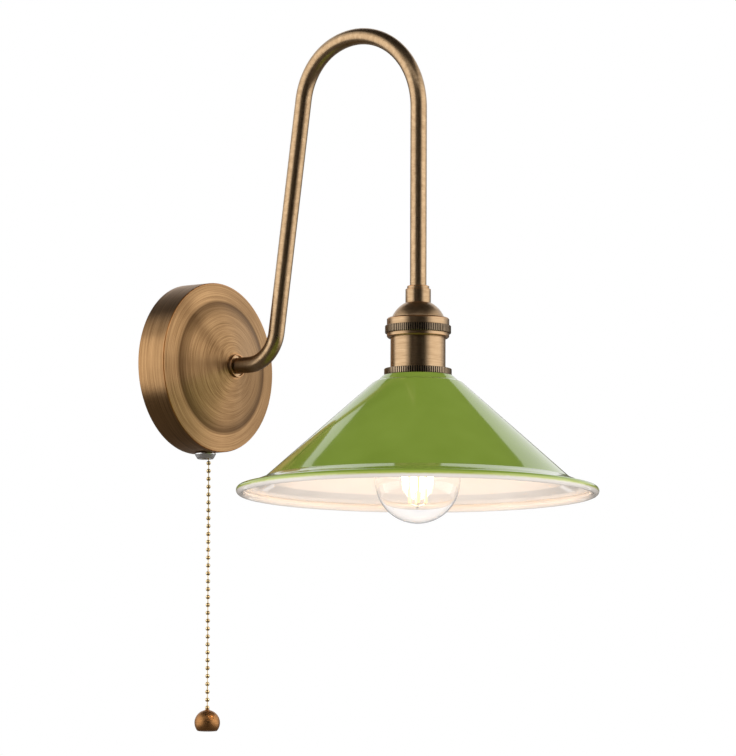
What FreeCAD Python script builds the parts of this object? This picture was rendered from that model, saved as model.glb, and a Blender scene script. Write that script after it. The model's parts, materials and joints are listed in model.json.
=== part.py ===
import FreeCAD, Part
import math
import os

# Gooseneck wall sconce with a pull switch.  Millimetres, +Z up.
# The origin is the centre of the wall plate's back rim, on the wall plane Y = 0.
# The lamp stands out from the wall along -Y, and u below means the distance out of the wall, -Y.
# The arm bends in the plane X = 0.  Heights on the lamp axis are counted from the lamp datum.

V = FreeCAD.Vector

# ---------------------------------------------------------------- driving dimensions
# Clearances
seat_gap = 0.3          # pieces that lie against each other
fit_gap = 0.05          # radial clearance of a turned fit or a screwed joint
clamp_gap = 0.1         # axial play between clamped flanges

# Wall plate, a spun cup
plate_r = 60.0
plate_side = 23.2
plate_wall = 1.2
plate_edge_radius = 1.0
crease_r = 46.0
crease_u = 26.0
crease_radius = 7.0
boss_r = 9.2
boss_u = 39.0

# Mounting bracket, a folded strip
bracket_sheet = 1.5
bracket_width = 22.0
bracket_bend_radius = 3.0
ear_width = 14.0
ear_height = 17.0
ear_screw_gap = 0.7     # between the screw's ear and the plate's inner wall
ear_catch_gap = 3.1     # between the catch's ear and the plate's inner wall
wall_screw_spacing = 70.0
wall_slot_length = 11.0
wall_slot_r = 2.5
cable_hole_r = 7.0
side_screw_u = 11.6
side_screw_r = 2.0
catch_sheet = 1.0
catch_width = 7.0
catch_reach = 7.0

# Terminal block
block_length = 17.0
block_pitch = 8.0
block_height = 13.5
block_x = -17.0
block_poles = 3
insert_r = 2.2
insert_bore_r = 1.45
insert_height = 5.5
clamp_screw_r = 1.25
clamp_screw_head_r = 1.9
block_screw_r = 1.5
block_head_r = 2.6
block_head_sink = 3.0
earth_x = 18.5

# Arm, a bent tube
tube_r = 5.73
tube_bore_r = 4.45
thread_r = 5.0
nipple_bore_r = 3.5
arm_straight_end_u = 51.68
low_bend_radius = 25.04
lean_deg = 8.28
leg_length = 164.56
rear_arch_radius = 46.50
rear_arch_deg = 57.70
front_arch_radius = 54.65
drop_length = 134.14
ferrule_r = 8.2
ferrule_rim = 0.9
ferrule_floor = 1.2
ferrule_height = 2.6
nipple_length = 19.5
nipple_grip = 9.5
lock_nut_flats = 14.0
lock_nut_height = 3.5
lock_washer_height = 0.9
sheath_r = 2.6
core_r = 0.95

# Lampholder, heights from the lamp datum
tube_end_z = 36.0
collar_r = 8.82
collar_top_z = 44.5
collar_lip_r = 7.7
collar_step_z = 42.3
grub_r = 1.5
grub_z = 39.0
dome_top_z = 32.4
dome_radius = 19.6
dome_centre_z = 15.2
dome_skirt_r = 18.3
dome_wall = 1.1
ring_top_z = 22.0
ring_flange_r = 21.7
knurl_top_z = 16.6
knurl_bottom_z = 11.2
knurl_r = 22.95
knurl_depth = 0.6
knurl_teeth = 90
ring_bottom_z = 8.1
flange_rise = 1.5
shell_r = 19.13
shell_wall = 0.9
shell_top_z = 15.2
shell_bottom_z = -37.0
insert_flange = 2.0
socket_floor_z = -9.5
socket_bottom_z = -34.5
socket_wall = 1.6
sleeve_wall = 0.45
contact_strip = 0.5
contact_back = 8.0
contact_bend = 3.5
contact_rise = 1.0
contact_tip = 4.5
contact_width = 5.0
shade_ring_top_z = -13.6
shade_ring_r = 23.5
lower_ring_r = 22.4
lower_ring_height = 5.0

# Shade, a spun enamelled cone
shade_top_z = -18.2
shade_wall = 1.1
neck_flat_r = 24.2
neck_step_r = 27.9
neck_step_z = -21.9
cone_slope = 1.129      # radius gained per millimetre of drop
cone_apex_z = 4.2
shoulder_z = -22.9
cone_end_z = -90.2
bead_r = 3.0
bead_centre_r = 123.0
bead_centre_z = -98.6
neck_edge_radius = 1.2
neck_step_radius = 1.6
brim_radius = 4.0

# Bulb, a clear A60 shape on an E27 cap
bulb_tip_z = -13.2
bulb_cap_r = 13.2
bulb_cap_top_z = -17.5
bulb_cap_bottom_z = -40.5
bulb_r = 29.8
bulb_centre_z = -91.5
bulb_neck_r = 15.2
bulb_neck_z = -53.0
bulb_neck_bend = 14.0
glass_wall = 0.8
filament_count = 4
filament_circle_r = 5.6
filament_r = 1.0
filament_top_z = -69.0
filament_bottom_z = -107.0
support_r = 0.4
stem_r = 3.2
stem_flare_drop = 3.0
stem_neck_drop = 9.0
stem_post_drop = 14.0
stem_tip_rise = 6.0     # from the filaments' tops up to the post's tip

# Pull switch and bead chain
bush_u = 11.6
bush_neck_r = 5.0
bush_bore_r = 4.2
bush_neck_drop = 2.5
bell_r = 7.45
bell_mouth_r = 5.6
bell_height = 4.2
chain_x = 1.5
chain_u = 13.4
bead_chain_r = 1.55
bead_pitch = 5.59
bead_count = 32
first_bead_drop = 7.1   # from the plate's rim to the first bead below the bell nut
link_r = 0.35
link_play = 0.2
ball_r = 9.0
ball_drop = 10.6
ball_cut = 5.8
ball_neck_r = 1.9
wheel_pitch_r = 5.5
wheel_rise = 11.5       # the wheel's axis above the case's lower end
wheel_flange_r = 6.7
wheel_flange = 0.8
axle_r = 1.5
case_wall = 1.6
case_cavity_r = 8.0
case_half_width = 10.5
case_height = 21.5
case_rim_gap = 4.5      # from the case's lower end to the plate's rim
case_back_u = 3.4
case_depth = 18.0
rotor_r = 6.2
rotor_width = 2.6
spring_strip = 0.35
spring_turn_pitch = 1.2
spring_half_turns = 5
spring_width = 3.0
rivet_r = 0.9
rivet_sink = 5.0
leaf_sheet = 0.5
leaf_width = 3.0


# ---------------------------------------------------------------- places
def arm_trace(offset, first_u):
    """Edges of the arm's centre line, or of a line beside it, with where the arm ends.

    offset is the distance to the left of the centre line, seen along +X with the wall on the left.
    """
    lean = math.radians(90.0 - lean_deg)
    turns = [
        (arm_straight_end_u - first_u, 0.0, 0.0),
        (0.0, low_bend_radius, lean),
        (leg_length, 0.0, 0.0),
        (0.0, rear_arch_radius, -math.radians(rear_arch_deg)),
        (0.0, front_arch_radius, -math.radians(180.0 - lean_deg - rear_arch_deg)),
        (drop_length, 0.0, 0.0),
    ]
    here = V(0, -first_u, offset)
    heading = 0.0
    edges = []
    for run, radius, turn in turns:
        along = V(0, -math.cos(heading), math.sin(heading))
        left = V(0, math.sin(heading), math.cos(heading))
        if run:
            there = here + along * run
            edges.append(Part.LineSegment(here, there).toShape())
        else:
            side = 1.0 if turn > 0 else -1.0
            own = radius - side * offset
            centre = here + left * (side * own)

            def at(part):
                angle = heading + part * turn
                return centre - V(0, math.sin(angle), math.cos(angle)) * (side * own)

            there = at(1.0)
            edges.append(Part.Arc(here, at(0.5), there).toShape())
            heading += turn
        here = there
    return edges, here


arm_root_u = boss_u + ferrule_floor
arm_edges, arm_end = arm_trace(0.0, arm_root_u)
lamp_u = -arm_end.y
lamp_z = arm_end.z - tube_end_z

WALL = FreeCAD.Placement(V(0, 0, 0), FreeCAD.Rotation(V(1, 0, 0), 90))
LAMP = FreeCAD.Placement(V(0, -lamp_u, lamp_z), FreeCAD.Rotation())
BUSH = FreeCAD.Placement(V(0, -bush_u, 0), FreeCAD.Rotation())
CHAIN = FreeCAD.Placement(V(chain_x, -chain_u, 0), FreeCAD.Rotation())
wheel_x = chain_x - wheel_pitch_r
case_bottom_z = -plate_r + case_rim_gap
case_top_z = case_bottom_z + case_height
leaf_live_run = 6.0        # the live core's straight run above its contact leaf
leaf_feed_run = 5.0        # the same for the switch's own lead
wheel_z = case_bottom_z + wheel_rise
first_bead_z = -plate_r - first_bead_drop
ear_screw_x = plate_r - plate_wall - ear_screw_gap
ear_catch_x = plate_r - plate_wall - ear_catch_gap
WHEEL = FreeCAD.Placement(V(wheel_x, 0, wheel_z), FreeCAD.Rotation(V(1, 0, 0), 90))
EARTH = FreeCAD.Placement(V(earth_x, 0, 0), FreeCAD.Rotation(V(1, 0, 0), 90))


# ---------------------------------------------------------------- helpers
def placed(shape, placement):
    """A copy of the shape, moved from its own frame by the placement."""
    copy = shape.copy()
    copy.Placement = placement.multiply(copy.Placement)
    return copy


def rounded_edges(points, radii):
    """Edges through the points, with an arc of its radius at each inner corner (0 keeps it sharp)."""
    edges = []
    start = points[0]
    for before, corner, after, radius in zip(points, points[1:], points[2:], radii):
        into = (corner - before).normalize()
        out = (after - corner).normalize()
        turn = into.getAngle(out)
        if radius <= 0 or turn < 1e-4:
            edges.append(Part.LineSegment(start, corner).toShape())
            start = corner
            continue
        reach = radius * math.tan(turn / 2)
        inward = (out - into).normalize()
        middle = corner + inward * (radius / math.cos(turn / 2) - radius)
        first = corner - into * reach
        last = corner + out * reach
        if (first - start).Length > 1e-6:
            edges.append(Part.LineSegment(start, first).toShape())
        edges.append(Part.Arc(first, middle, last).toShape())
        start = last
    if (points[-1] - start).Length > 1e-6:
        edges.append(Part.LineSegment(start, points[-1]).toShape())
    return edges


def profile(points):
    """Closed flat face through (r, z) points, in the XZ plane."""
    corners = [V(r, 0, z) for r, z in points]
    return Part.Face(Part.makePolygon(corners + corners[:1]))


def turned(points):
    """Solid of revolution about Z of a closed outline of (r, z) points."""
    return profile(points).revolve(V(0, 0, 0), V(0, 0, 1), 360)


def offset_corners(points, radii, wall):
    """The corners of an open outline moved sideways by the wall, with the radii that stay concentric."""
    sides = []
    for (r0, z0), (r1, z1) in zip(points, points[1:]):
        length = math.hypot(r1 - r0, z1 - z0)
        normal = (-(z1 - z0) / length, (r1 - r0) / length)
        sides.append((r0 + wall * normal[0], z0 + wall * normal[1], (r1 - r0) / length, (z1 - z0) / length))
    corners = [(sides[0][0], sides[0][1])]
    changed = []
    for (r0, z0, dr0, dz0), (r1, z1, dr1, dz1), radius in zip(sides, sides[1:], radii):
        cross = dr0 * dz1 - dz0 * dr1
        along = ((r1 - r0) * dz1 - (z1 - z0) * dr1) / cross
        corners.append((r0 + along * dr0, z0 + along * dz0))
        inner = radius - wall if cross > 0 else radius + wall
        changed.append(max(inner, 0.0) if radius > 0 else 0.0)
    r1, z1 = points[-1]
    dr, dz = sides[-1][2:]
    corners.append((r1 - wall * dz, z1 + wall * dr))
    return corners, changed


def sheet_face(points, radii, wall):
    """Face of a sheet as thick as the wall, on the left of an open outline in the XZ plane."""
    inner, inner_radii = offset_corners(points, radii, wall)
    there = [V(r, 0, z) for r, z in points]
    back = [V(r, 0, z) for r, z in inner]
    edges = rounded_edges(there, radii) + rounded_edges(back, inner_radii)
    edges.append(Part.LineSegment(there[0], back[0]).toShape())
    edges.append(Part.LineSegment(there[-1], back[-1]).toShape())
    return Part.Face(Part.Wire(Part.__sortEdges__(edges)))


def spun(points, radii, wall):
    """Shell of revolution about Z, with its wall on the left of the outline."""
    return sheet_face(points, radii, wall).revolve(V(0, 0, 0), V(0, 0, 1), 360)


def rod(radius, start, end):
    """Round bar between two points."""
    return Part.makeCylinder(radius, (end - start).Length, start, end - start)


def ring(outer_r, inner_r, low, high):
    """Plain ring about Z."""
    outer = Part.makeCylinder(outer_r, high - low, V(0, 0, low))
    return outer.cut(Part.makeCylinder(inner_r, high - low, V(0, 0, low)))


def box(low, high):
    """Box between two corners."""
    return Part.makeBox(high.x - low.x, high.y - low.y, high.z - low.z, low)


def prism(radius, sides, low, high):
    """Regular prism about Z, with its corners on the radius."""
    corners = [
        V(radius * math.cos(2 * math.pi * k / sides), radius * math.sin(2 * math.pi * k / sides), low)
        for k in range(sides)
    ]
    return Part.Face(Part.makePolygon(corners + corners[:1])).extrude(V(0, 0, high - low))


def hex_nut(flats, bore_r, low, high):
    """Hexagon nut about Z."""
    body = prism(flats / math.sqrt(3), 6, low, high)
    return body.cut(Part.makeCylinder(bore_r, high - low, V(0, 0, low)))


def knurled_ring(rim_r, bore_r, low, high):
    """Ring with straight knurling on its rim."""
    corners = []
    for k in range(2 * knurl_teeth):
        radius = rim_r if k % 2 else rim_r - knurl_depth
        angle = math.pi * k / knurl_teeth
        corners.append(V(radius * math.cos(angle), radius * math.sin(angle), low))
    band = Part.Face(Part.makePolygon(corners + corners[:1])).extrude(V(0, 0, high - low))
    return band.cut(Part.makeCylinder(bore_r, high - low, V(0, 0, low)))


def screw(shank_r, length, head_r, head_height):
    """Pan-head screw, its head's underside at z = 0 and its shank down -Z, with a crossing of two slots."""
    dome = [(0, -length), (shank_r, -length), (shank_r, 0), (head_r, 0), (head_r, head_height * 0.5)]
    dome += [(head_r * 0.75, head_height), (0, head_height)]
    body = turned(dome)
    half = head_r * 0.55
    width = head_r * 0.12
    floor = head_height * 0.45
    for x, y in ((half, width), (width, half)):
        body = body.cut(box(V(-x, -y, floor), V(x, y, head_height)))
    return body


def pipe(edges, radius):
    """Round wire along a path of tangent edges."""
    path = Part.Wire(edges)
    first = path.Edges[0]
    start = first.valueAt(first.FirstParameter)
    heading = first.tangentAt(first.FirstParameter)
    circle = Part.Wire(Part.makeCircle(radius, start, heading))
    return path.makePipeShell([circle], True, False)


def core_route(points):
    """Edges of a core through the points, each bend as large as its two runs allow."""
    radii = []
    for before, corner, after in zip(points, points[1:], points[2:]):
        turn = (corner - before).getAngle(after - corner)
        shorter = min((corner - before).Length, (after - corner).Length)
        radii.append(0.45 * shorter / math.tan(turn / 2) if turn > 1e-3 else 0.0)
    return rounded_edges(points, radii)


def at_wall(x, u, z):
    """Point at x, at u out of the wall, at height z."""
    return V(x, -u, z)


# ---------------------------------------------------------------- wall plate and bracket
plate_corners = [
    (plate_r, 0.0),
    (plate_r, plate_side),
    (crease_r, crease_u),
    (boss_r, boss_u),
    (thread_r + fit_gap, boss_u),
]
plate_radii = [plate_edge_radius, crease_radius, 1.0 + plate_wall]


def wall_plate():
    cup = placed(spun(plate_corners, plate_radii, plate_wall), WALL)
    bush_hole = placed(Part.makeCylinder(bush_neck_r + fit_gap, plate_r, V(0, 0, -plate_r - 1)), BUSH)
    side_hole = rod(side_screw_r + fit_gap, at_wall(plate_r / 2, side_screw_u, 0),
                    at_wall(plate_r + 1, side_screw_u, 0))
    return cup.cut(bush_hole).cut(side_hole)


def mounting_bracket():
    outline = [(-ear_catch_x, ear_height), (-ear_catch_x, 0), (ear_screw_x, 0), (ear_screw_x, ear_height)]
    radii = [bracket_bend_radius, bracket_bend_radius]
    folded = sheet_face(outline, radii, bracket_sheet).extrude(V(0, bracket_width, 0))
    strip = placed(folded, WALL)
    strip.translate(V(0, 0, -bracket_width / 2))
    for side in (-1, 1):
        low, high = sorted((side * ear_width / 2, side * bracket_width))
        for x0, x1 in ((-plate_r, -ear_catch_x + bracket_bend_radius),
                       (ear_screw_x - bracket_bend_radius, plate_r)):
            strip = strip.cut(box(V(x0, -ear_height - 1, low), V(x1, 1, high)))
    half = wall_slot_length / 2 - wall_slot_r
    for centre in (-wall_screw_spacing / 2, wall_screw_spacing / 2):
        ends = [rod(wall_slot_r, at_wall(centre + dx, 2 * bracket_sheet, 0), at_wall(centre + dx, -1, 0))
                for dx in (-half, half)]
        middle = box(V(centre - half, -2 * bracket_sheet, -wall_slot_r), V(centre + half, 1, wall_slot_r))
        strip = strip.cut(ends[0].fuse([ends[1], middle]))
    for x, radius in ((0, cable_hole_r), (earth_x, side_screw_r + fit_gap),
                      (block_x, block_screw_r + fit_gap)):
        z = block_pitch / 2 if x == block_x else 0
        strip = strip.cut(rod(radius, at_wall(x, 2 * bracket_sheet, z), at_wall(x, -1, z)))
    strip = strip.cut(rod(side_screw_r + fit_gap, at_wall(ear_screw_x - 4, side_screw_u, 0),
                          at_wall(ear_screw_x + 1, side_screw_u, 0)))
    window = box(V(-ear_catch_x - 1, -side_screw_u - catch_sheet / 2 - seat_gap, -catch_width / 2 - seat_gap),
                 V(-ear_catch_x + bracket_sheet + 1, -side_screw_u + catch_sheet / 2 + seat_gap,
                   catch_width / 2 + seat_gap))
    return strip.cut(window)


def plate_catch():
    """Tab on the inside of the plate's wall that hooks through the window in the bracket's ear."""
    base_half = catch_width / 2 + 2
    wall_x = -math.sqrt((plate_r - plate_wall) ** 2 - base_half**2)
    base = box(V(wall_x, -side_screw_u - 4, -base_half),
               V(wall_x + catch_sheet, -side_screw_u + 4, base_half))
    tongue = box(V(wall_x, -side_screw_u - catch_sheet / 2, -catch_width / 2),
                 V(wall_x + catch_reach, -side_screw_u + catch_sheet / 2, catch_width / 2))
    return base.fuse(tongue).removeSplitter()


def plate_screw():
    length = plate_r - ear_screw_x + bracket_sheet + 3.0
    body = screw(side_screw_r, length, 3.6, 2.2)
    return placed(body, FreeCAD.Placement(V(plate_r, -side_screw_u, 0), FreeCAD.Rotation(V(0, 1, 0), 90)))


# ---------------------------------------------------------------- terminal block and earth
pole_z = [block_pitch * (k - (block_poles - 1) / 2) for k in range(block_poles)]
block_front_u = bracket_sheet + block_height
insert_u = bracket_sheet + insert_height
block_head_u = block_front_u - block_head_sink


def clamp_x():
    """Where each pole's two clamp screws stand."""
    return [block_x - block_length / 4, block_x + block_length / 4]


def terminal_block():
    half = block_pitch * block_poles / 2
    body = box(V(block_x - block_length / 2, -block_front_u, -half),
               V(block_x + block_length / 2, -bracket_sheet, half))
    for z in pole_z:
        body = body.cut(rod(insert_r + fit_gap, at_wall(block_x - block_length, insert_u, z),
                            at_wall(block_x + block_length, insert_u, z)))
        for x in clamp_x():
            body = body.cut(rod(clamp_screw_head_r + seat_gap, at_wall(x, insert_u, z),
                                at_wall(x, block_front_u + 1, z)))
    z = block_pitch / 2
    body = body.cut(rod(block_head_r + seat_gap, at_wall(block_x, block_head_u, z),
                        at_wall(block_x, block_front_u + 1, z)))
    return body.cut(rod(block_screw_r + fit_gap, at_wall(block_x, 0, z), at_wall(block_x, block_front_u, z)))


def terminal_inserts():
    solids = []
    half = block_length / 2 - 1.0
    for z in pole_z:
        start = at_wall(block_x - half, insert_u, z)
        end = at_wall(block_x + half, insert_u, z)
        tube = rod(insert_r, start, end).cut(rod(insert_bore_r, start, end))
        for x in clamp_x():
            tube = tube.cut(rod(clamp_screw_r + fit_gap, at_wall(x, insert_u, z),
                                at_wall(x, insert_u + insert_r + 1, z)))
        solids.append(tube)
    return Part.makeCompound(solids)


def terminal_screws():
    solids = []
    for z in pole_z:
        for x in clamp_x():
            foot = at_wall(x, insert_u + core_r, z)
            neck = at_wall(x, insert_u + insert_r + 1.2, z)
            top = at_wall(x, insert_u + insert_r + 3.4, z)
            body = rod(clamp_screw_r, foot, neck).fuse(rod(clamp_screw_head_r, neck, top))
            slot = box(V(x - 2, top.y - 0.1, z - 0.3), V(x + 2, top.y + 0.8, z + 0.3))
            solids.append(body.removeSplitter().cut(slot))
    return Part.makeCompound(solids)


def terminal_fixing_screw():
    body = screw(block_screw_r, block_head_u - 0.2, block_head_r, 1.6)
    place = at_wall(block_x, block_head_u, block_pitch / 2)
    return placed(body, FreeCAD.Placement(place, FreeCAD.Rotation(V(1, 0, 0), 90)))


tag_sheet = 0.8
tag_r = 4.2
tag_barrel_r = 1.6
tag_barrel_z = 8.5
tag_u = bracket_sheet + tag_barrel_r


def earth_ring_terminal():
    eye = ring(tag_r, side_screw_r + fit_gap, bracket_sheet, bracket_sheet + tag_sheet)
    tail = box(V(-1.4, tag_r - 1, bracket_sheet), V(1.4, tag_barrel_z, bracket_sheet + tag_sheet))
    barrel = rod(tag_barrel_r, V(0, tag_barrel_z - 1, tag_u), V(0, tag_barrel_z + 5, tag_u))
    bore = rod(core_r + fit_gap, V(0, tag_barrel_z + 0.5, tag_u), V(0, tag_barrel_z + 6, tag_u))
    return placed(eye.fuse([tail, barrel]).removeSplitter().cut(bore), EARTH)


def earth_screw():
    top = bracket_sheet + tag_sheet
    body = screw(side_screw_r, top - 0.2, 3.6, 2.2)
    body.translate(V(0, 0, top))
    return placed(body, EARTH)


# ---------------------------------------------------------------- arm
washer_u = boss_u - plate_wall
lock_nut_u = washer_u - lock_washer_height
nipple_out_u = arm_root_u + nipple_grip
nipple_in_u = nipple_out_u - nipple_length


def arm_tube():
    start = at_wall(0, arm_root_u, 0)
    outer = pipe(arm_edges, tube_r)
    bore = pipe(arm_edges, tube_bore_r)
    tube = outer.cut(bore)
    socket = rod(thread_r + fit_gap, start, at_wall(0, nipple_out_u + 0.5, 0))
    lower = rod(thread_r + fit_gap, arm_end, arm_end + V(0, 0, nipple_grip + 0.5))
    return tube.cut(socket).cut(lower)


def arm_ferrule():
    inner = ferrule_r - ferrule_rim
    bore = thread_r + fit_gap
    points = [(bore, 0), (ferrule_r, 0), (ferrule_r, ferrule_height - 0.3), (ferrule_r - 0.3, ferrule_height)]
    points += [(inner, ferrule_height), (inner, ferrule_floor), (bore, ferrule_floor)]
    body = turned(points)
    body.translate(V(0, 0, boss_u))
    return placed(body, WALL)


def arm_nipple():
    return placed(ring(thread_r, nipple_bore_r, nipple_in_u, nipple_out_u), WALL)


def arm_lock_washer():
    """Serrated washer: teeth cut in its rim."""
    outer_r = ferrule_r
    body = ring(outer_r, thread_r + fit_gap, lock_nut_u, washer_u)
    teeth = 12
    for k in range(teeth):
        angle = 2 * math.pi * k / teeth
        notch = box(V(outer_r - 1.3, -0.5, lock_nut_u - 1), V(outer_r + 1, 0.5, washer_u + 1))
        notch.rotate(V(0, 0, 0), V(0, 0, 1), math.degrees(angle))
        body = body.cut(notch)
    return placed(body, WALL)


def arm_lock_nut():
    return placed(hex_nut(lock_nut_flats, thread_r + fit_gap, lock_nut_u - lock_nut_height, lock_nut_u), WALL)


sheath_in_u = nipple_in_u - 3.0
sheath_lamp_drop = 5.0


def flex_sheath():
    """The flex's sheath, through the whole arm."""
    edges, end = arm_trace(0.0, sheath_in_u)
    edges[-1] = Part.LineSegment(edges[-1].Vertexes[0].Point, end - V(0, 0, sheath_lamp_drop)).toShape()
    return pipe(edges, sheath_r)


core_places = {"live": (-1.1, 0.65), "neutral": (1.1, 0.65), "earth": (0.0, -1.25)}


def wall_core(name):
    """A core from the flex's end inside the wall plate to where it is clamped."""
    x, z = core_places[name]
    start = [at_wall(x, sheath_in_u, z), at_wall(x, sheath_in_u - 4.0, z)]
    block_face = block_x + block_length / 2
    routes = {
        "live": [(x, 16.0, -2.0), (-0.5, 14.5, -15.0), (leaf_x[1], leaf_u, leaf_top_z + leaf_live_run),
                 (leaf_x[1], leaf_u, leaf_top_z)],
        "neutral": [(x, 17.0, z), (0.0, 9.0, 0.0), (block_face + 3.0, insert_u, pole_z[1]),
                    (block_face - 3.0, insert_u, pole_z[1])],
        "earth": [(5.0, 18.0, -1.8), (9.0, 12.5, 8.0), (14.5, 7.5, 20.0), (earth_x, tag_u, 20.5),
                  (earth_x, tag_u, tag_barrel_z + 1.0)],
    }
    points = start + [at_wall(*point) for point in routes[name]]
    return pipe(core_route(points), core_r)


def switch_feed():
    """The lead from the terminal block to the switch."""
    block_face = block_x + block_length / 2
    z = pole_z[0]
    points = [(block_face - 3.0, insert_u, z), (block_face + 4.0, insert_u, z),
              (block_face + 7.0, 8.5, z - 5.0),
              (block_face + 3.5, 11.5, z - 12.0),
              (leaf_x[0], leaf_u, leaf_top_z + leaf_feed_run), (leaf_x[0], leaf_u, leaf_top_z)]
    return pipe(core_route([at_wall(*point) for point in points]), core_r)


# ---------------------------------------------------------------- lampholder
nipple_down_z = tube_end_z - 10.0
shell_bore_r = shell_r - shell_wall
cap_flange_z = shell_top_z + insert_flange + clamp_gap
cap_flange_top_z = cap_flange_z + flange_rise
cap_flange_r = shell_r + 1.2


def holder_collar():
    """Neck piece that the arm's end stands in, with a stepped lip at its mouth."""
    mouth = tube_r + fit_gap
    bore = thread_r + fit_gap
    points = [(bore, dome_top_z), (collar_r, dome_top_z), (collar_r, collar_step_z - 0.4)]
    points += [(collar_r - 0.4, collar_step_z), (collar_lip_r, collar_step_z),
               (collar_lip_r, collar_top_z - 0.6)]
    points += [(collar_lip_r - 0.6, collar_top_z), (mouth, collar_top_z), (mouth, tube_end_z),
               (bore, tube_end_z)]
    body = turned(points)
    hole = rod(grub_r + fit_gap, V(tube_r, 0, grub_z), V(collar_r + 1, 0, grub_z))
    return placed(body.cut(hole), LAMP)


def holder_grub_screw():
    body = rod(grub_r, V(tube_r + fit_gap, 0, grub_z), V(collar_r - 0.3, 0, grub_z))
    socket = prism(0.85, 6, collar_r - 1.6, collar_r)
    socket.rotate(V(0, 0, 0), V(0, 1, 0), 90)
    socket.translate(V(0, 0, grub_z))
    return placed(body.cut(socket), LAMP)


def holder_nipple():
    return placed(ring(thread_r, nipple_bore_r, nipple_down_z, tube_end_z + nipple_grip), LAMP)


def sphere_point(radius, angle, centre):
    """Point of the dome's meridian, the angle counted up from the horizontal."""
    return V(radius * math.cos(angle), 0, centre + radius * math.sin(angle))


def holder_cap():
    """Domed cap, hollow, with the flange that the knurled ring holds down."""
    bore = thread_r + fit_gap
    inner_radius = dome_radius - dome_wall
    outer_low = math.acos(dome_skirt_r / dome_radius)
    seat_r = collar_r + fit_gap
    outer_high = math.acos(seat_r / dome_radius)
    inner_low = math.acos((dome_skirt_r - dome_wall) / inner_radius)
    inner_high = math.asin((dome_top_z - 2 * dome_wall - dome_centre_z) / inner_radius)

    def dome_arc(radius, low, high):
        points = [sphere_point(radius, low + part * (high - low), dome_centre_z) for part in (0, 0.5, 1)]
        return Part.Arc(*points).toShape(), points[0], points[2]

    outer, outer_start, outer_end = dome_arc(dome_radius, outer_low, outer_high)
    inner, inner_start, inner_end = dome_arc(inner_radius, inner_low, inner_high)
    skirt_bore = dome_skirt_r - dome_wall
    corners = [outer_start, V(dome_skirt_r, 0, cap_flange_top_z), V(cap_flange_r, 0, cap_flange_top_z),
               V(cap_flange_r, 0, cap_flange_z), V(skirt_bore, 0, cap_flange_z), inner_start]
    top = [inner_end, V(bore, 0, inner_end.z), V(bore, 0, dome_top_z), V(seat_r, 0, dome_top_z), outer_end]
    edges = [outer, inner]
    for chain in (corners, top):
        for a, b in zip(chain, chain[1:]):
            if (b - a).Length > 1e-6:
                edges.append(Part.LineSegment(a, b).toShape())
    face = Part.Face(Part.Wire(Part.__sortEdges__(edges)))
    return placed(face.revolve(V(0, 0, 0), V(0, 0, 1), 360), LAMP)


def holder_lock_nut():
    top = dome_top_z - 2 * dome_wall - clamp_gap
    return placed(hex_nut(lock_nut_flats - 1, thread_r + fit_gap, top - 2.5, top), LAMP)


def cap_ring():
    """Knurled union ring: its lip holds the cap's flange, and its thread runs on the shell."""
    lip_bore = dome_skirt_r + seat_gap
    cup_bore = cap_flange_r + seat_gap
    thread_bore = shell_r + fit_gap
    lip_z = cap_flange_top_z + clamp_gap
    cup_z = shell_top_z - 0.5
    edge = 0.9
    points = [(lip_bore, ring_top_z), (ring_flange_r - edge, ring_top_z), (ring_flange_r, ring_top_z - edge)]
    points += [(ring_flange_r, ring_bottom_z + edge), (ring_flange_r - edge, ring_bottom_z)]
    points += [(thread_bore, ring_bottom_z), (thread_bore, cup_z), (cup_bore, cup_z), (cup_bore, lip_z),
               (lip_bore, lip_z)]
    band = knurled_ring(knurl_r, ring_flange_r - 0.5, knurl_bottom_z, knurl_top_z)
    return placed(turned(points).fuse(band).removeSplitter(), LAMP)


def holder_shell():
    points = [(shell_bore_r, shell_bottom_z), (shell_r - 0.3, shell_bottom_z),
              (shell_r, shell_bottom_z + 0.3)]
    points += [(shell_r, shell_top_z), (shell_bore_r, shell_top_z)]
    return placed(turned(points), LAMP)


socket_bore_r = bulb_cap_r + fit_gap
sleeve_r = socket_bore_r + sleeve_wall
well_r = 5.0
well_depth = 7.0
terminal_pitch_r = 10.5
terminal_degrees = {"neutral": 0, "earth": 90, "live": 180}
holder_terminal_z = shell_top_z + insert_flange + tag_sheet


def at_terminals(shape):
    """Copies of a solid made for the terminal on +X, one at each terminal of the insert."""
    solids = []
    for degrees in terminal_degrees.values():
        copy = shape.copy()
        copy.rotate(V(0, 0, 0), V(0, 0, 1), degrees)
        solids.append(copy)
    return Part.makeCompound(solids)


def holder_insert():
    """Porcelain insert with its flange between the cap and the shell."""
    body_r = shell_bore_r - fit_gap
    top = shell_top_z + insert_flange
    points = [(0, socket_floor_z), (sleeve_r + fit_gap, socket_floor_z),
              (sleeve_r + fit_gap, socket_bottom_z)]
    points += [(sleeve_r + fit_gap + socket_wall, socket_bottom_z), (body_r, socket_bottom_z + 2.5),
               (body_r, shell_top_z)]
    points += [(shell_r, shell_top_z), (shell_r, top), (well_r, top), (well_r, top - well_depth),
               (0, top - well_depth)]
    holes = at_terminals(Part.makeCylinder(clamp_screw_r + fit_gap, 9, V(terminal_pitch_r, 0, top - 8)))
    return placed(turned(points).cut(holes), LAMP)


def holder_terminal_screws():
    body = screw(clamp_screw_r, 7.0, 2.6, 1.4)
    body.translate(V(terminal_pitch_r, 0, holder_terminal_z))
    return placed(at_terminals(body), LAMP)


def holder_terminals():
    """Brass tabs under the terminal screws."""
    tab = box(V(terminal_pitch_r - 3.2, -3.5, holder_terminal_z - tag_sheet),
              V(terminal_pitch_r + 3.2, 5.0, holder_terminal_z))
    tab = tab.cut(Part.makeCylinder(clamp_screw_r + fit_gap, 4,
                                    V(terminal_pitch_r, 0, holder_terminal_z - 2)))
    return placed(at_terminals(tab), LAMP)


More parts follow.
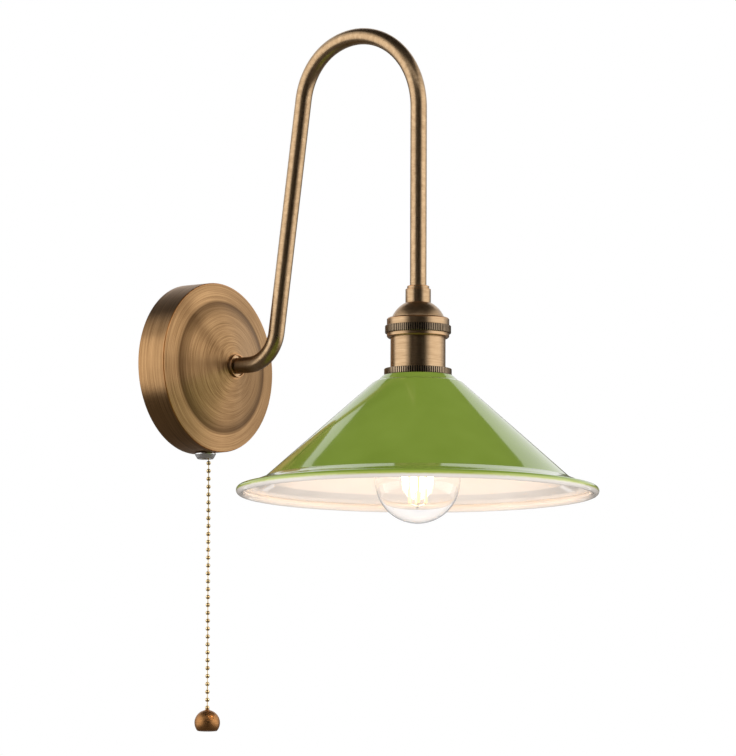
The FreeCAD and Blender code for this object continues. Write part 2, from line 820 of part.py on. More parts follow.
def lamp_core(name):
    """A core from the flex's end inside the cap down to its terminal tab."""
    x, left = core_places[name]
    end = V(terminal_pitch_r, 3.9, 0)
    turn = FreeCAD.Rotation(V(0, 0, 1), terminal_degrees[name])
    end = turn.multVec(end)
    start = V(x, -left, tube_end_z - sheath_lamp_drop)
    points = [start, V(x, -left, nipple_down_z - 1.5), V(0.62 * end.x, 0.62 * end.y, nipple_down_z - 3.5)]
    points += [V(end.x, end.y, nipple_down_z - 4.0), V(end.x, end.y, holder_terminal_z)]
    return placed(pipe(core_route(points), core_r), LAMP)


def screw_sleeve():
    """Thin threaded sleeve that the bulb's cap screws into."""
    return placed(ring(sleeve_r, socket_bore_r, socket_bottom_z + 0.5, socket_floor_z - clamp_gap), LAMP)


def centre_contact():
    """Sprung tongue under the bulb's tip."""
    foot_z = socket_floor_z - contact_strip
    tip_z = bulb_tip_z + seat_gap
    outline = [(-contact_back, foot_z), (-contact_bend, foot_z), (contact_rise, tip_z), (contact_tip, tip_z)]
    face = sheet_face(outline, [2 * contact_strip, 2 * contact_strip], contact_strip)
    body = face.extrude(V(0, contact_width, 0))
    body.translate(V(0, -contact_width / 2, 0))
    return placed(body, LAMP)


def shade_ring():
    """Knurled ring on the shell's thread, above the shade."""
    return placed(knurled_ring(shade_ring_r, shell_r + fit_gap, shade_top_z, shade_ring_top_z), LAMP)


def shade_ring_lower():
    high = shade_top_z - shade_wall
    low = high - lower_ring_height
    bore = shell_r + fit_gap
    points = [(bore, low), (lower_ring_r - 0.6, low), (lower_ring_r, low + 0.6), (lower_ring_r, high),
              (bore, high)]
    return placed(turned(points), LAMP)


# ---------------------------------------------------------------- shade
def cone_r(z):
    """Outer radius of the shade's cone at a height."""
    return cone_slope * (cone_apex_z - z)


def shade():
    """Spun cone with a stepped neck and a brim that ends in a rolled bead."""
    outline = [
        (shell_r + seat_gap, shade_top_z),
        (neck_flat_r, shade_top_z),
        (neck_step_r, neck_step_z),
        (cone_r(shoulder_z), shoulder_z),
        (cone_r(cone_end_z), cone_end_z),
        (bead_centre_r, bead_centre_z + 0.7 * bead_r),
    ]
    radii = [neck_edge_radius, neck_step_radius, neck_step_radius, brim_radius]
    points = [(r, z) for r, z in reversed(outline)]
    sheet = spun(points, radii[::-1], shade_wall)
    bead = Part.makeTorus(bead_centre_r, bead_r, V(0, 0, bead_centre_z), V(0, 0, 1))
    return placed(sheet.fuse(bead).removeSplitter(), LAMP)


# ---------------------------------------------------------------- bulb
def bulb_glass():
    """Clear envelope: a neck line that runs tangent into the ball."""
    to_centre = V(-bulb_neck_r, 0, bulb_centre_z - bulb_neck_z)
    lean = math.asin(bulb_r / to_centre.Length)
    angle = math.atan2(to_centre.z, to_centre.x) + lean
    bottom = bulb_centre_z - bulb_r
    reach = (bottom - bulb_neck_z) / math.sin(angle)
    corner = (bulb_neck_r + reach * math.cos(angle), bottom)
    outline = [(0.0, bottom), corner, (bulb_neck_r, bulb_neck_z), (bulb_cap_r - 1.0, bulb_cap_bottom_z + 1.5)]
    return placed(spun(outline, [bulb_r, bulb_neck_bend], glass_wall), LAMP)


def bulb_cap():
    """Metal screw cap, open at its top for the insulator."""
    wall = 0.4
    outline = [(bulb_cap_r, bulb_cap_bottom_z), (bulb_cap_r, bulb_cap_top_z), (9.0, bulb_cap_top_z + 1.6)]
    return placed(spun(outline, [1.0], wall), LAMP)


def bulb_insulator():
    top = bulb_tip_z - 1.2
    points = [(0, bulb_cap_top_z - 1.0), (8.2, bulb_cap_top_z - 1.0), (8.2, bulb_cap_top_z + 1.6),
              (5.4, top), (0, top)]
    return placed(turned(points), LAMP)


def bulb_contact():
    low = bulb_tip_z - 1.2
    return placed(turned([(0, low), (4.8, low), (4.4, low + 0.7), (2.0, bulb_tip_z), (0, bulb_tip_z)]), LAMP)


stem_tip_z = filament_top_z + stem_tip_rise


def bulb_stem():
    """Glass mount: a flare that closes the neck and a post that carries the filaments."""
    top = bulb_cap_bottom_z + 1.0
    points = [(0, top), (bulb_cap_r - 1.0 - glass_wall - fit_gap, top),
              (bulb_cap_r - 4.0, top - stem_flare_drop)]
    points += [(stem_r + 1.0, top - stem_neck_drop), (stem_r, top - stem_post_drop)]
    points += [(stem_r - 0.7, stem_tip_z), (0, stem_tip_z)]
    return placed(turned(points), LAMP)


def filament_places():
    step = 2 * math.pi / filament_count
    return [V(filament_circle_r * math.cos(step * (k + 0.5)),
              filament_circle_r * math.sin(step * (k + 0.5)), 0)
            for k in range(filament_count)]


def filaments():
    solids = [rod(filament_r, place + V(0, 0, filament_bottom_z), place + V(0, 0, filament_top_z))
              for place in filament_places()]
    return placed(Part.makeCompound(solids), LAMP)


hub_z = filament_bottom_z - 3.0


def filament_supports():
    """Wires from the post to the filaments' tops, and the star that holds their feet."""
    solids = []
    for place in filament_places():
        out = V(place.x, place.y, 0).normalize()
        top = place + V(0, 0, filament_top_z)
        root = out * (stem_r - 1.4) + V(0, 0, stem_tip_z)
        neck = root - V(0, 0, 2.0)
        knee = top + V(0, 0, 3.0)
        solids.append(pipe(core_route([root, neck, knee, top]), support_r))
    star = []
    for place in filament_places():
        foot = place + V(0, 0, filament_bottom_z - 1.3 * support_r)
        star.append(rod(support_r, V(0, 0, hub_z), foot))
    hub = Part.makeSphere(3 * support_r, V(0, 0, hub_z))
    post = rod(support_r, V(0, 0, hub_z), V(0, 0, stem_tip_z))
    solids.append(hub.fuse(star + [post]))
    return placed(Part.makeCompound(solids), LAMP)


# ---------------------------------------------------------------- pull switch
case_front_u = case_back_u + case_depth
cover_u = case_front_u - case_wall
wheel_half = bead_chain_r + 0.35 + wheel_flange
wheel_low_u = chain_u - wheel_half
wheel_high_u = chain_u + wheel_half
leaf_x = [wheel_x - rotor_r - seat_gap - leaf_sheet / 2, wheel_x + rotor_r + seat_gap + leaf_sheet / 2]
leaf_u = wheel_high_u + seat_gap + rotor_width / 2
leaf_top_z = case_top_z + 3.0
corner_r = case_half_width - 2.0


def case_corners():
    """Where the two rivets of the switch's cover stand."""
    middle = (case_top_z + case_bottom_z) / 2
    half = (case_top_z - case_bottom_z) / 2 - 1.9
    return [(wheel_x - corner_r, middle + half), (wheel_x + corner_r, middle - half)]


def switch_case():
    """Moulded body with the wheel's chamber, the chain's way out and the threaded neck."""
    body = box(V(wheel_x - case_half_width, -cover_u, case_bottom_z),
               V(wheel_x + case_half_width, -case_back_u, case_top_z))
    chamber = Part.makeCylinder(case_cavity_r, cover_u - case_back_u - case_wall,
                                V(0, 0, case_back_u + case_wall))
    neck_end = -plate_r - bush_neck_drop
    neck = placed(Part.makeCylinder(bush_neck_r, case_bottom_z - neck_end + 1, V(0, 0, neck_end)), BUSH)
    neck_bore = placed(Part.makeCylinder(bush_bore_r, case_bottom_z - neck_end + 2, V(0, 0, neck_end)), BUSH)
    way = placed(Part.makeCylinder(bead_chain_r + 0.6, wheel_z - case_bottom_z + 2,
                                   V(0, 0, case_bottom_z - 2)), CHAIN)
    body = body.fuse(neck).removeSplitter()
    body = body.cut(placed(chamber, WHEEL)).cut(neck_bore).cut(way)
    for x in leaf_x:
        slot = box(V(x - leaf_sheet / 2 - fit_gap, -leaf_u - leaf_width / 2 - fit_gap, wheel_z),
                   V(x + leaf_sheet / 2 + fit_gap, -leaf_u + leaf_width / 2 + fit_gap, case_top_z + 1))
        body = body.cut(slot)
    for x, z in case_corners():
        body = body.cut(rod(rivet_r + fit_gap, at_wall(x, cover_u - rivet_sink, z),
                            at_wall(x, cover_u + 1, z)))
    return body.cut(rod(axle_r + fit_gap, at_wall(wheel_x, case_back_u - 1, wheel_z),
                        at_wall(wheel_x, cover_u, wheel_z)))


def switch_cover():
    body = box(V(wheel_x - case_half_width, -case_front_u, case_bottom_z),
               V(wheel_x + case_half_width, -cover_u, case_top_z))
    body = body.cut(rod(axle_r + fit_gap, at_wall(wheel_x, cover_u - 1, wheel_z),
                        at_wall(wheel_x, case_front_u + 1, wheel_z)))
    for x, z in case_corners():
        body = body.cut(rod(rivet_r + fit_gap, at_wall(x, cover_u - 1, z), at_wall(x, case_front_u + 1, z)))
    return body


def switch_rivets():
    solids = []
    for x, z in case_corners():
        shank = rod(rivet_r, at_wall(x, cover_u - rivet_sink + seat_gap, z), at_wall(x, case_front_u, z))
        head = rod(rivet_r + 0.6, at_wall(x, case_front_u, z), at_wall(x, case_front_u + 0.6, z))
        solids.append(shank.fuse(head).removeSplitter())
    return Part.makeCompound(solids)


def wheel_axle():
    return rod(axle_r, at_wall(wheel_x, case_back_u, wheel_z), at_wall(wheel_x, case_front_u, wheel_z))


wheel_groove_r = wheel_pitch_r - bead_chain_r - seat_gap
bead_step = bead_pitch / wheel_pitch_r
straight_beads = int((wheel_z - first_bead_z) // bead_pitch)
first_wrap = (bead_pitch * (straight_beads + 1) - (wheel_z - first_bead_z)) / wheel_pitch_r
wrapped_beads = 3
pull_travel = wheel_pitch_r * math.radians(90)


def pull_wheel():
    """Grooved wheel that the chain wraps round, with a slotted lug that stops the last bead."""
    low = wheel_low_u
    high = wheel_high_u
    bore = axle_r + fit_gap
    points = [(bore, low), (wheel_flange_r, low), (wheel_flange_r, low + wheel_flange),
              (wheel_groove_r, low + wheel_flange)]
    points += [(wheel_groove_r, high - wheel_flange), (wheel_flange_r, high - wheel_flange),
               (wheel_flange_r, high), (bore, high)]
    body = turned(points)
    lug = box(V(wheel_groove_r - 0.3, -0.5, low + 0.2), V(wheel_flange_r - 0.2, 0.5, high - 0.2))
    way = box(V(wheel_groove_r + 0.3, -1, chain_u - 2 * link_r),
              V(wheel_flange_r + 1, 1, chain_u + 2 * link_r))
    lug = lug.cut(way)
    lug.rotate(V(0, 0, 0), V(0, 0, 1), math.degrees(first_wrap + (wrapped_beads - 1.5) * bead_step))
    return placed(body.fuse(lug).removeSplitter(), WHEEL)


def contact_rotor():
    """Four-lobed rotor that the wheel's ratchet turns a quarter at each pull."""
    low = wheel_high_u + seat_gap
    body = ring(rotor_r, axle_r + fit_gap, low, low + rotor_width)
    for k in range(4):
        angle = math.radians(45 + 90 * k)
        place = V(rotor_r * 1.15 * math.cos(angle), rotor_r * 1.15 * math.sin(angle), low - 1)
        body = body.cut(Part.makeCylinder(2.6, rotor_width + 2, place))
    return placed(body, WHEEL)


def return_spring():
    """Flat spiral spring between the wheel and the back of the case, of half turns that grow in steps."""
    low = case_back_u + case_wall + seat_gap
    start = axle_r + 0.7
    inner = []
    outer = []
    for k in range(spring_half_turns):
        side = -1 if k % 2 else 1
        x = spring_turn_pitch / 2 if k % 2 else 0
        for edges, wall in ((inner, 0), (outer, spring_strip)):
            r = start + k * spring_turn_pitch / 2 + wall
            edges.append(Part.Arc(V(x + side * r, 0, low), V(x, side * r, low),
                                  V(x - side * r, 0, low)).toShape())
    first = Part.LineSegment(inner[0].valueAt(inner[0].FirstParameter),
                             outer[0].valueAt(outer[0].FirstParameter))
    last = Part.LineSegment(inner[-1].valueAt(inner[-1].LastParameter),
                            outer[-1].valueAt(outer[-1].LastParameter))
    outline = Part.__sortEdges__(inner + outer + [first.toShape(), last.toShape()])
    return placed(Part.Face(Part.Wire(outline)).extrude(V(0, 0, spring_width)), WHEEL)


def bell_nut():
    """Bright bell-mouthed nut on the neck, below the plate's rim."""
    top = -plate_r - 0.05
    low = top - bell_height
    bore = bush_neck_r + fit_gap
    neck_end = -plate_r - bush_neck_drop
    mouth = bush_bore_r + 0.3
    points = [(bore, top), (bell_r - 0.4, top), (bell_r, top - 0.4), (bell_r, top - 1.0),
              (bell_r - 0.9, top - 2.6)]
    points += [(bell_mouth_r + 0.2, low + 0.3), (bell_mouth_r - 0.2, low), (mouth + 0.3, low),
               (mouth, low + 0.6)]
    points += [(mouth, neck_end - 0.2), (bore, neck_end - 0.2)]
    return placed(turned(points), BUSH)


def bush_nut():
    """Thin nut on the neck, inside the plate's rim."""
    high = case_bottom_z - clamp_gap
    return placed(hex_nut(lock_nut_flats, bush_neck_r + fit_gap, high - 2.2, high), BUSH)


def switch_contacts():
    """Two sprung brass leaves beside the rotor, with tags that stand out of the case's top."""
    solids = []
    for x in leaf_x:
        solids.append(box(V(x - leaf_sheet / 2, -leaf_u - leaf_width / 2, wheel_z + 0.2),
                          V(x + leaf_sheet / 2, -leaf_u + leaf_width / 2, leaf_top_z)))
    return Part.makeCompound(solids)


# ---------------------------------------------------------------- bead chain
bead_sides = 8
bead_profile = [(0.52, -1.45), (1.25, -0.95), (bead_chain_r, -0.35), (bead_chain_r, 0.35), (1.25, 0.95),
                (0.52, 1.45)]


def bead():
    """One bead of the chain about the origin, with its holes' rims as flats."""
    rings = []
    for radius, z in bead_profile:
        corners = [V(radius * math.cos(2 * math.pi * k / bead_sides),
                     radius * math.sin(2 * math.pi * k / bead_sides), z)
                   for k in range(bead_sides)]
        rings.append(Part.makePolygon(corners + corners[:1]))
    return Part.makeLoft(rings, True, True)


bead_half = bead_profile[-1][1]


def hung_beads(first, count, link_above, play):
    """Beads down the chain's line from the given height, with the links between them.

    play is what the topmost link stands short of the bead above it, where the chain bends.
    """
    solids = []
    for k in range(count):
        z = first - k * bead_pitch
        one = bead()
        one.translate(V(0, 0, z))
        solids.append(one)
        if k or link_above:
            top = z + bead_pitch - bead_half - (0 if k else play)
            solids.append(prism(link_r, 6, z + bead_half, top))
    return placed(Part.makeCompound(solids), CHAIN)


def chain_top():
    """The beads inside the bush and the case, which only slide."""
    return hung_beads(first_bead_z + straight_beads * bead_pitch, straight_beads, False, 0)


def chain_pivot_bead():
    return hung_beads(first_bead_z, 1, True, link_play)


def bead_chain():
    return hung_beads(first_bead_z - bead_pitch, bead_count - 1, True, link_play)


def wheel_beads():
    """The beads that lie in the wheel's groove."""
    beads = []
    links = []
    places = []
    for k in range(wrapped_beads):
        angle = first_wrap + k * bead_step
        centre = V(wheel_pitch_r * math.cos(angle), wheel_pitch_r * math.sin(angle), chain_u)
        places.append(centre)
        one = bead()
        one.rotate(V(0, 0, 0), V(1, 0, 0), -90)
        one.rotate(V(0, 0, 0), V(0, 0, 1), math.degrees(angle))
        one.translate(centre)
        beads.append(one)
    for a, b in zip(places, places[1:]):
        links.append(rod(link_r, a, b))
    return placed(beads[0].fuse(beads[1:] + links), WHEEL)


last_bead_z = first_bead_z - (bead_count - 1) * bead_pitch
ball_z = last_bead_z - ball_drop


def pull_ball():
    """Turned ball with a flat foot and a small neck that meets the last bead."""
    neck_top = last_bead_z - bead_half
    neck_z = ball_z + math.sqrt(ball_r**2 - ball_neck_r**2)
    foot_r = math.sqrt(ball_r**2 - ball_cut**2)
    edges = [
        Part.LineSegment(V(0, 0, neck_top), V(ball_neck_r, 0, neck_top)).toShape(),
        Part.LineSegment(V(ball_neck_r, 0, neck_top), V(ball_neck_r, 0, neck_z)).toShape(),
        Part.Arc(V(ball_neck_r, 0, neck_z), V(ball_r, 0, ball_z), V(foot_r, 0, ball_z - ball_cut)).toShape(),
        Part.LineSegment(V(foot_r, 0, ball_z - ball_cut), V(0, 0, ball_z - ball_cut)).toShape(),
        Part.LineSegment(V(0, 0, ball_z - ball_cut), V(0, 0, neck_top)).toShape(),
    ]
    face = Part.Face(Part.Wire(edges))
    return placed(face.revolve(V(0, 0, 0), V(0, 0, 1), 360), CHAIN)


# ---------------------------------------------------------------- build
MAKERS = {
    "wall_plate": wall_plate,
    "mounting_bracket": mounting_bracket,
    "plate_catch": plate_catch,
    "plate_screw": plate_screw,
    "terminal_block": terminal_block,
    "terminal_inserts": terminal_inserts,
    "terminal_screws": terminal_screws,
    "terminal_fixing_screw": terminal_fixing_screw,
    "earth_ring_terminal": earth_ring_terminal,
    "earth_screw": earth_screw,
    "arm_tube": arm_tube,
    "arm_ferrule": arm_ferrule,
    "arm_nipple": arm_nipple,
    "arm_lock_washer": arm_lock_washer,
    "arm_lock_nut": arm_lock_nut,
    "flex_sheath": flex_sheath,
    "live_core_wall": lambda: wall_core("live"),
    "neutral_core_wall": lambda: wall_core("neutral"),
    "earth_core_wall": lambda: wall_core("earth"),
    "switch_feed": switch_feed,
    "holder_collar": holder_collar,
    "holder_grub_screw": holder_grub_screw,
    "holder_nipple": holder_nipple,
    "holder_cap": holder_cap,
    "holder_lock_nut": holder_lock_nut,
    "cap_ring": cap_ring,
    "holder_shell": holder_shell,
    "holder_insert": holder_insert,
    "holder_terminals": holder_terminals,
    "holder_terminal_screws": holder_terminal_screws,
    "live_core_lamp": lambda: lamp_core("live"),
    "neutral_core_lamp": lambda: lamp_core("neutral"),
    "earth_core_lamp": lambda: lamp_core("earth"),
    "screw_sleeve": screw_sleeve,
    "centre_contact": centre_contact,
    "shade_ring": shade_ring,
    "shade_ring_lower": shade_ring_lower,
    "shade": shade,
    "bulb_glass": bulb_glass,
    "bulb_cap": bulb_cap,
    "bulb_insulator": bulb_insulator,
    "bulb_contact": bulb_contact,
    "bulb_stem": bulb_stem,
    "filaments": filaments,
    "filament_supports": filament_supports,
    "switch_case": switch_case,
    "switch_cover": switch_cover,
    "switch_rivets": switch_rivets,
    "switch_contacts": switch_contacts,
    "wheel_axle": wheel_axle,
    "return_spring": return_spring,
    "bush_nut": bush_nut,
    "bell_nut": bell_nut,
    "pull_wheel": pull_wheel,
    "wheel_beads": wheel_beads,
    "contact_rotor": contact_rotor,
    "chain_top": chain_top,
    "chain_pivot_bead": chain_pivot_bead,
    "bead_chain": bead_chain,
    "pull_ball": pull_ball,
}


def main():
    os.makedirs("parts", exist_ok=True)
    for name, make in MAKERS.items():
        shape = make()
        if not shape.isValid():
            print("not valid:", name)
        shape.exportStep(os.path.join("parts", name + ".step"))
        print(name, len(shape.Solids), "solids", round(shape.Volume, 1), "mm3")
    print("lamp axis at", round(lamp_u, 2), "from the wall, lamp datum at height", round(lamp_z, 3))


main()
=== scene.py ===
import json
import math

import bpy
from mathutils import Matrix, Vector


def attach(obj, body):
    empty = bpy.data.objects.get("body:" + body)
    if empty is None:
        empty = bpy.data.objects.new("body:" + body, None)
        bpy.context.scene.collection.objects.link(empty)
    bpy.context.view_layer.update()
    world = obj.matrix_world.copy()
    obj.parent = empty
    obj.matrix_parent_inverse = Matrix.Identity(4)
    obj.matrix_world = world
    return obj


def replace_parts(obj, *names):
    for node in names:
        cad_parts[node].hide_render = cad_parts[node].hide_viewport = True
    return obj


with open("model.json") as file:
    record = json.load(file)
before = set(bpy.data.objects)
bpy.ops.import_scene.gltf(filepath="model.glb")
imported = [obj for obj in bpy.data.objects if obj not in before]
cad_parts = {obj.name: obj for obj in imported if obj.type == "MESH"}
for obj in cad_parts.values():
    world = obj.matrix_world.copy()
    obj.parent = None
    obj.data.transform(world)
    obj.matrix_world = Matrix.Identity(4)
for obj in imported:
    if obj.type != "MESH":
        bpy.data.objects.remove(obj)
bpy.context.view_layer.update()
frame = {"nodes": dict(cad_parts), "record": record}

# Lengths are written in millimetres and turned into metres by MM.
MM = 0.001
TAU = 2 * math.pi

# ---------------------------------------------------------------- sizes, as in the frame
plate_r = 60.0
plate_side = 23.2
plate_wall = 1.2
crease_r = 46.0
crease_u = 26.0
boss_r = 9.2
boss_u = 39.0
arm_root_u = 40.2
tube_r = 5.73
tube_bore_r = 4.45
lean = math.radians(8.28)
lamp_u = 204.14
tube_end_z = 36.0
bush_u = 11.6
chain_x = 1.5
chain_u = 13.4
bead_pitch = 5.59
bead_count = 32
first_bead_z = -67.1
shell_r = 19.13
shell_wall = 0.9
hole_r = 5.05          # clearance round the nipples' thread
ferrule_r = 8.2
ferrule_cup_r = 7.3
ferrule_cup_u = 41.6
collar_r = 8.82
collar_lip_r = 7.7
collar_bore_r = 5.78
collar_low_z = 32.4
collar_step_z = 42.3
collar_top_z = 44.5
sleeve_r = 19.18       # bore of the rings that fit over the shell
knurl_depth = 0.75
knurl_teeth = 90
shade_ring_r = 23.5
shade_ring_top_z = -13.6
shade_neck_z = -18.2   # where the shade's neck meets the ring above it
cone_slope = 1.129
cone_apex_z = 4.2

WALL = Matrix.Rotation(math.radians(90), 4, "X")
LAMP = Matrix.Translation((0, -lamp_u * MM, 0))
BUSH = Matrix.Translation((0, -bush_u * MM, 0))
CHAIN = Matrix.Translation((chain_x * MM, -chain_u * MM, 0))


# ---------------------------------------------------------------- outlines and meshes
def rounded(points, radii, step=math.radians(9)):
    """An open (r, z) outline with an arc of its radius at each inner corner."""
    path = [Vector(points[0])]
    for before, corner, after, radius in zip(points, points[1:], points[2:], radii):
        before, corner, after = Vector(before), Vector(corner), Vector(after)
        into = (corner - before).normalized()
        out = (after - corner).normalized()
        turn = into.angle(out)
        if radius <= 0 or turn < 1e-3:
            path.append(corner)
            continue
        reach = radius * math.tan(turn / 2)
        inward = (out - into).normalized()
        centre = corner + inward * (radius / math.cos(turn / 2))
        first = corner - into * reach - centre
        side = 1 if into.cross(out) > 0 else -1
        count = max(3, math.ceil(turn / step))
        for k in range(count + 1):
            path.append(centre + Matrix.Rotation(side * turn * k / count, 2) @ first)
    path.append(Vector(points[-1]))
    return path


def arc(centre, radius, start, end, count):
    """Points on a circle in the (r, z) plane, from one angle in degrees to another."""
    points = []
    for k in range(count + 1):
        angle = math.radians(start + (end - start) * k / count)
        points.append((centre[0] + radius * math.cos(angle), centre[1] + radius * math.sin(angle)))
    return points


def make(name, vertices, faces, uvs, place, material, body="fixture", slot=None, wear_and_highlight=None, paint=None,
         sharp=35):
    """A mesh piece from vertices in millimetres and per-corner UVs, set in place and ridden on its body."""
    mesh = bpy.data.meshes.new(name)
    mesh.from_pydata([tuple(Vector(v) * MM) for v in vertices], [], faces)
    mesh.transform(place)
    if uvs:
        layer = mesh.uv_layers.new(name="UVMap")
        for loop, uv in zip(layer.data, uvs):
            loop.uv = uv
    for attribute, values in (("wear_and_highlight", wear_and_highlight), ("paint", paint)):
        if values:
            data = mesh.attributes.new(attribute, "FLOAT", "POINT")
            data.data.foreach_set("value", values)
    mesh.validate()
    mesh.shade_smooth()
    mesh.set_sharp_from_angle(angle=math.radians(sharp))
    piece = bpy.data.objects.new(name, mesh)
    bpy.context.scene.collection.objects.link(piece)
    piece.data.materials.append(material)
    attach(piece, body)
    return piece


def convexity(path, closed):
    """How far each point of an outline stands out as an edge, 0 to 1."""
    values = []
    count = len(path)
    for k, here in enumerate(path):
        if not closed and k in (0, count - 1):
            values.append(0.0)
            continue
        before = Vector(path[k - 1])
        after = Vector(path[(k + 1) % count])
        here = Vector(here)
        a, b = here - before, after - here
        if a.length < 1e-6 or b.length < 1e-6:
            values.append(0.0)
            continue
        turn = a.cross(b) / (a.length * b.length)
        bend = turn / max(0.5 * (a.length + b.length), 0.02)
        values.append(min(max(bend * 0.6, 0.0), 1.0))
    return values


def lathe(name, path, place, material, sides=160, closed=True, paint=None, **how):
    """Solid or sheet turned about Z from an anticlockwise (r, z) outline, with U round it and V along it."""
    path = [tuple(p) for p in path]
    vertices, rings, wear_and_highlight, painted = [], [], [], []
    edge = convexity(path, closed)
    for index, (r, z) in enumerate(path):
        if r < 1e-6:
            rings.append([len(vertices)])
            vertices.append((0, 0, z))
            wear_and_highlight.append(edge[index])
            painted.append(paint[index] if paint else 0.0)
            continue
        rings.append(list(range(len(vertices), len(vertices) + sides)))
        for k in range(sides):
            angle = TAU * k / sides
            vertices.append((r * math.cos(angle), r * math.sin(angle), z))
        wear_and_highlight += [edge[index]] * sides
        painted += [paint[index] if paint else 0.0] * sides
    lengths = [0.0]
    for a, b in zip(path, path[1:] + path[:1]):
        lengths.append(lengths[-1] + math.dist(a, b))
    faces, uvs = [], []
    last = len(path) if closed else len(path) - 1
    for index in range(last):
        low, high = rings[index], rings[(index + 1) % len(path)]
        v0, v1 = lengths[index] * MM, lengths[index + 1] * MM
        if len(low) == 1 and len(high) == 1:
            continue
        for k in range(sides):
            after = (k + 1) % sides
            u0, u1 = k / sides, (k + 1) / sides
            if len(low) == 1:
                faces.append((low[0], high[after], high[k]))
                uvs += [((u0 + u1) / 2, v0), (u1, v1), (u0, v1)]
            elif len(high) == 1:
                faces.append((low[k], low[after], high[0]))
                uvs += [(u0, v0), (u1, v0), ((u0 + u1) / 2, v1)]
            else:
                faces.append((low[k], low[after], high[after], high[k]))
                uvs += [(u0, v0), (u1, v0), (u1, v1), (u0, v1)]
    return make(name, vertices, faces, uvs, place, material, wear_and_highlight=wear_and_highlight, paint=painted if paint else None,
                **how)


def swept(name, line, radius, place, material, sides=48, bore=None, **how):
    """Round bar or tube along a line of points, its ends flat."""
    line = [Vector(p) for p in line]
    tangents = []
    for k in range(len(line)):
        before, after = line[max(k - 1, 0)], line[min(k + 1, len(line) - 1)]
        tangents.append((after - before).normalized())
    side = tangents[0].orthogonal().normalized()
    frames = []
    for k, tangent in enumerate(tangents):
        side = (side - tangent * side.dot(tangent)).normalized()
        frames.append((side.copy(), tangent.cross(side)))
    vertices, faces, uvs = [], [], []
    walls = [(radius, 1)] + ([(bore, -1)] if bore else [])
    for r, way in walls:
        base = len(vertices)
        length = 0.0
        for k, (centre, (a, b)) in enumerate(zip(line, frames)):
            for s in range(sides):
                angle = TAU * s / sides
                vertices.append(centre + (a * math.cos(angle) + b * math.sin(angle)) * r)
        for k in range(len(line) - 1):
            step = (line[k + 1] - line[k]).length
            for s in range(sides):
                after = (s + 1) % sides
                face = [base + k * sides + s, base + k * sides + after, base + (k + 1) * sides + after,
                        base + (k + 1) * sides + s]
                corner = [(s / sides, length * MM), ((s + 1) / sides, length * MM),
                          ((s + 1) / sides, (length + step) * MM), (s / sides, (length + step) * MM)]
                if way < 0:
                    face.reverse()
                    corner.reverse()
                faces.append(face)
                uvs += corner
            length += step
    rows = len(line) * sides
    for end in (0, (len(line) - 1) * sides):
        if bore:
            for s in range(sides):
                after = (s + 1) % sides
                face = [end + s, end + after, rows + end + after, rows + end + s]
                if not end:
                    face.reverse()
                faces.append(face)
                uvs += [(0, 0)] * 4
        else:
            face = [end + s for s in range(sides)]
            if not end:
                face.reverse()
            faces.append(face)
            uvs += [(0, 0)] * sides
    return make(name, vertices, faces, uvs, place, material, **how)


# ---------------------------------------------------------------- materials
class Nodes:
    """A small hand for building a node tree."""

    def __init__(self, name):
        self.material = bpy.data.materials.new(name)
        self.material.use_nodes = True
        self.tree = self.material.node_tree
        self.shader = self.tree.nodes["Principled BSDF"]
        self.output = self.tree.nodes["Material Output"]

    def add(self, kind, inputs=None, **settings):
        node = self.tree.nodes.new("ShaderNode" + kind)
        for key, value in settings.items():
            setattr(node, key, value)
        for key, value in (inputs or {}).items():
            if isinstance(value, bpy.types.NodeSocket):
                self.tree.links.new(value, node.inputs[key])
            else:
                node.inputs[key].default_value = value
        return node

    def link(self, source, key):
        self.tree.links.new(source, self.shader.inputs[key])

    def math(self, operation, a, b=0.0, clamp=False):
        return self.add("Math", {0: a, 1: b}, operation=operation, use_clamp=clamp).outputs[0]

    def mix(self, factor, a, b):
        node = self.add("Mix", data_type="RGBA")
        for socket, value in zip((node.inputs["Factor"], node.inputs[6], node.inputs[7]), (factor, a, b)):
            if isinstance(value, bpy.types.NodeSocket):
                self.tree.links.new(value, socket)
            else:
                socket.default_value = value
        return node.outputs[2]

    def ramp(self, value, low, high, to_low=0.0, to_high=1.0):
        return self.add("MapRange", {0: value, 1: low, 2: high, 3: to_low, 4: to_high}).outputs[0]

    def noise(self, vector, scale, detail=2.0, rough=0.5):
        inputs = {"Vector": vector, "Scale": scale, "Detail": detail, "Roughness": rough}
        return self.add("TexNoise", inputs).outputs[0]

    def bump(self, height, strength, distance):
        node = self.add("Bump", {"Height": height, "Strength": strength, "Distance": distance})
        self.link(node.outputs[0], "Normal")

    def attribute(self, name):
        return self.add("Attribute", attribute_name=name).outputs["Fac"]

    def object_coords(self):
        return self.add("TexCoord").outputs["Object"]

    def brush_coords(self, along, around):
        """Coordinates that change fast along V and slowly round U, with no seam."""
        uv = self.add("UVMap").outputs[0]
        split = self.add("SeparateXYZ", {0: uv})
        angle = self.math("MULTIPLY", split.outputs[0], TAU)
        a = self.math("MULTIPLY", self.math("COSINE", angle), around)
        b = self.math("MULTIPLY", self.math("SINE", angle), around)
        c = self.math("MULTIPLY", split.outputs[1], along)
        return self.add("CombineXYZ", {0: a, 1: b, 2: c}).outputs[0]


def rgb(r, g, b):
    """A colour from its 0 to 255 screen values."""
    screen = (c / 255 for c in (r, g, b))
    return tuple(((c + 0.055) / 1.055) ** 2.4 if c > 0.04 else c / 12.92 for c in screen) + (1.0,)


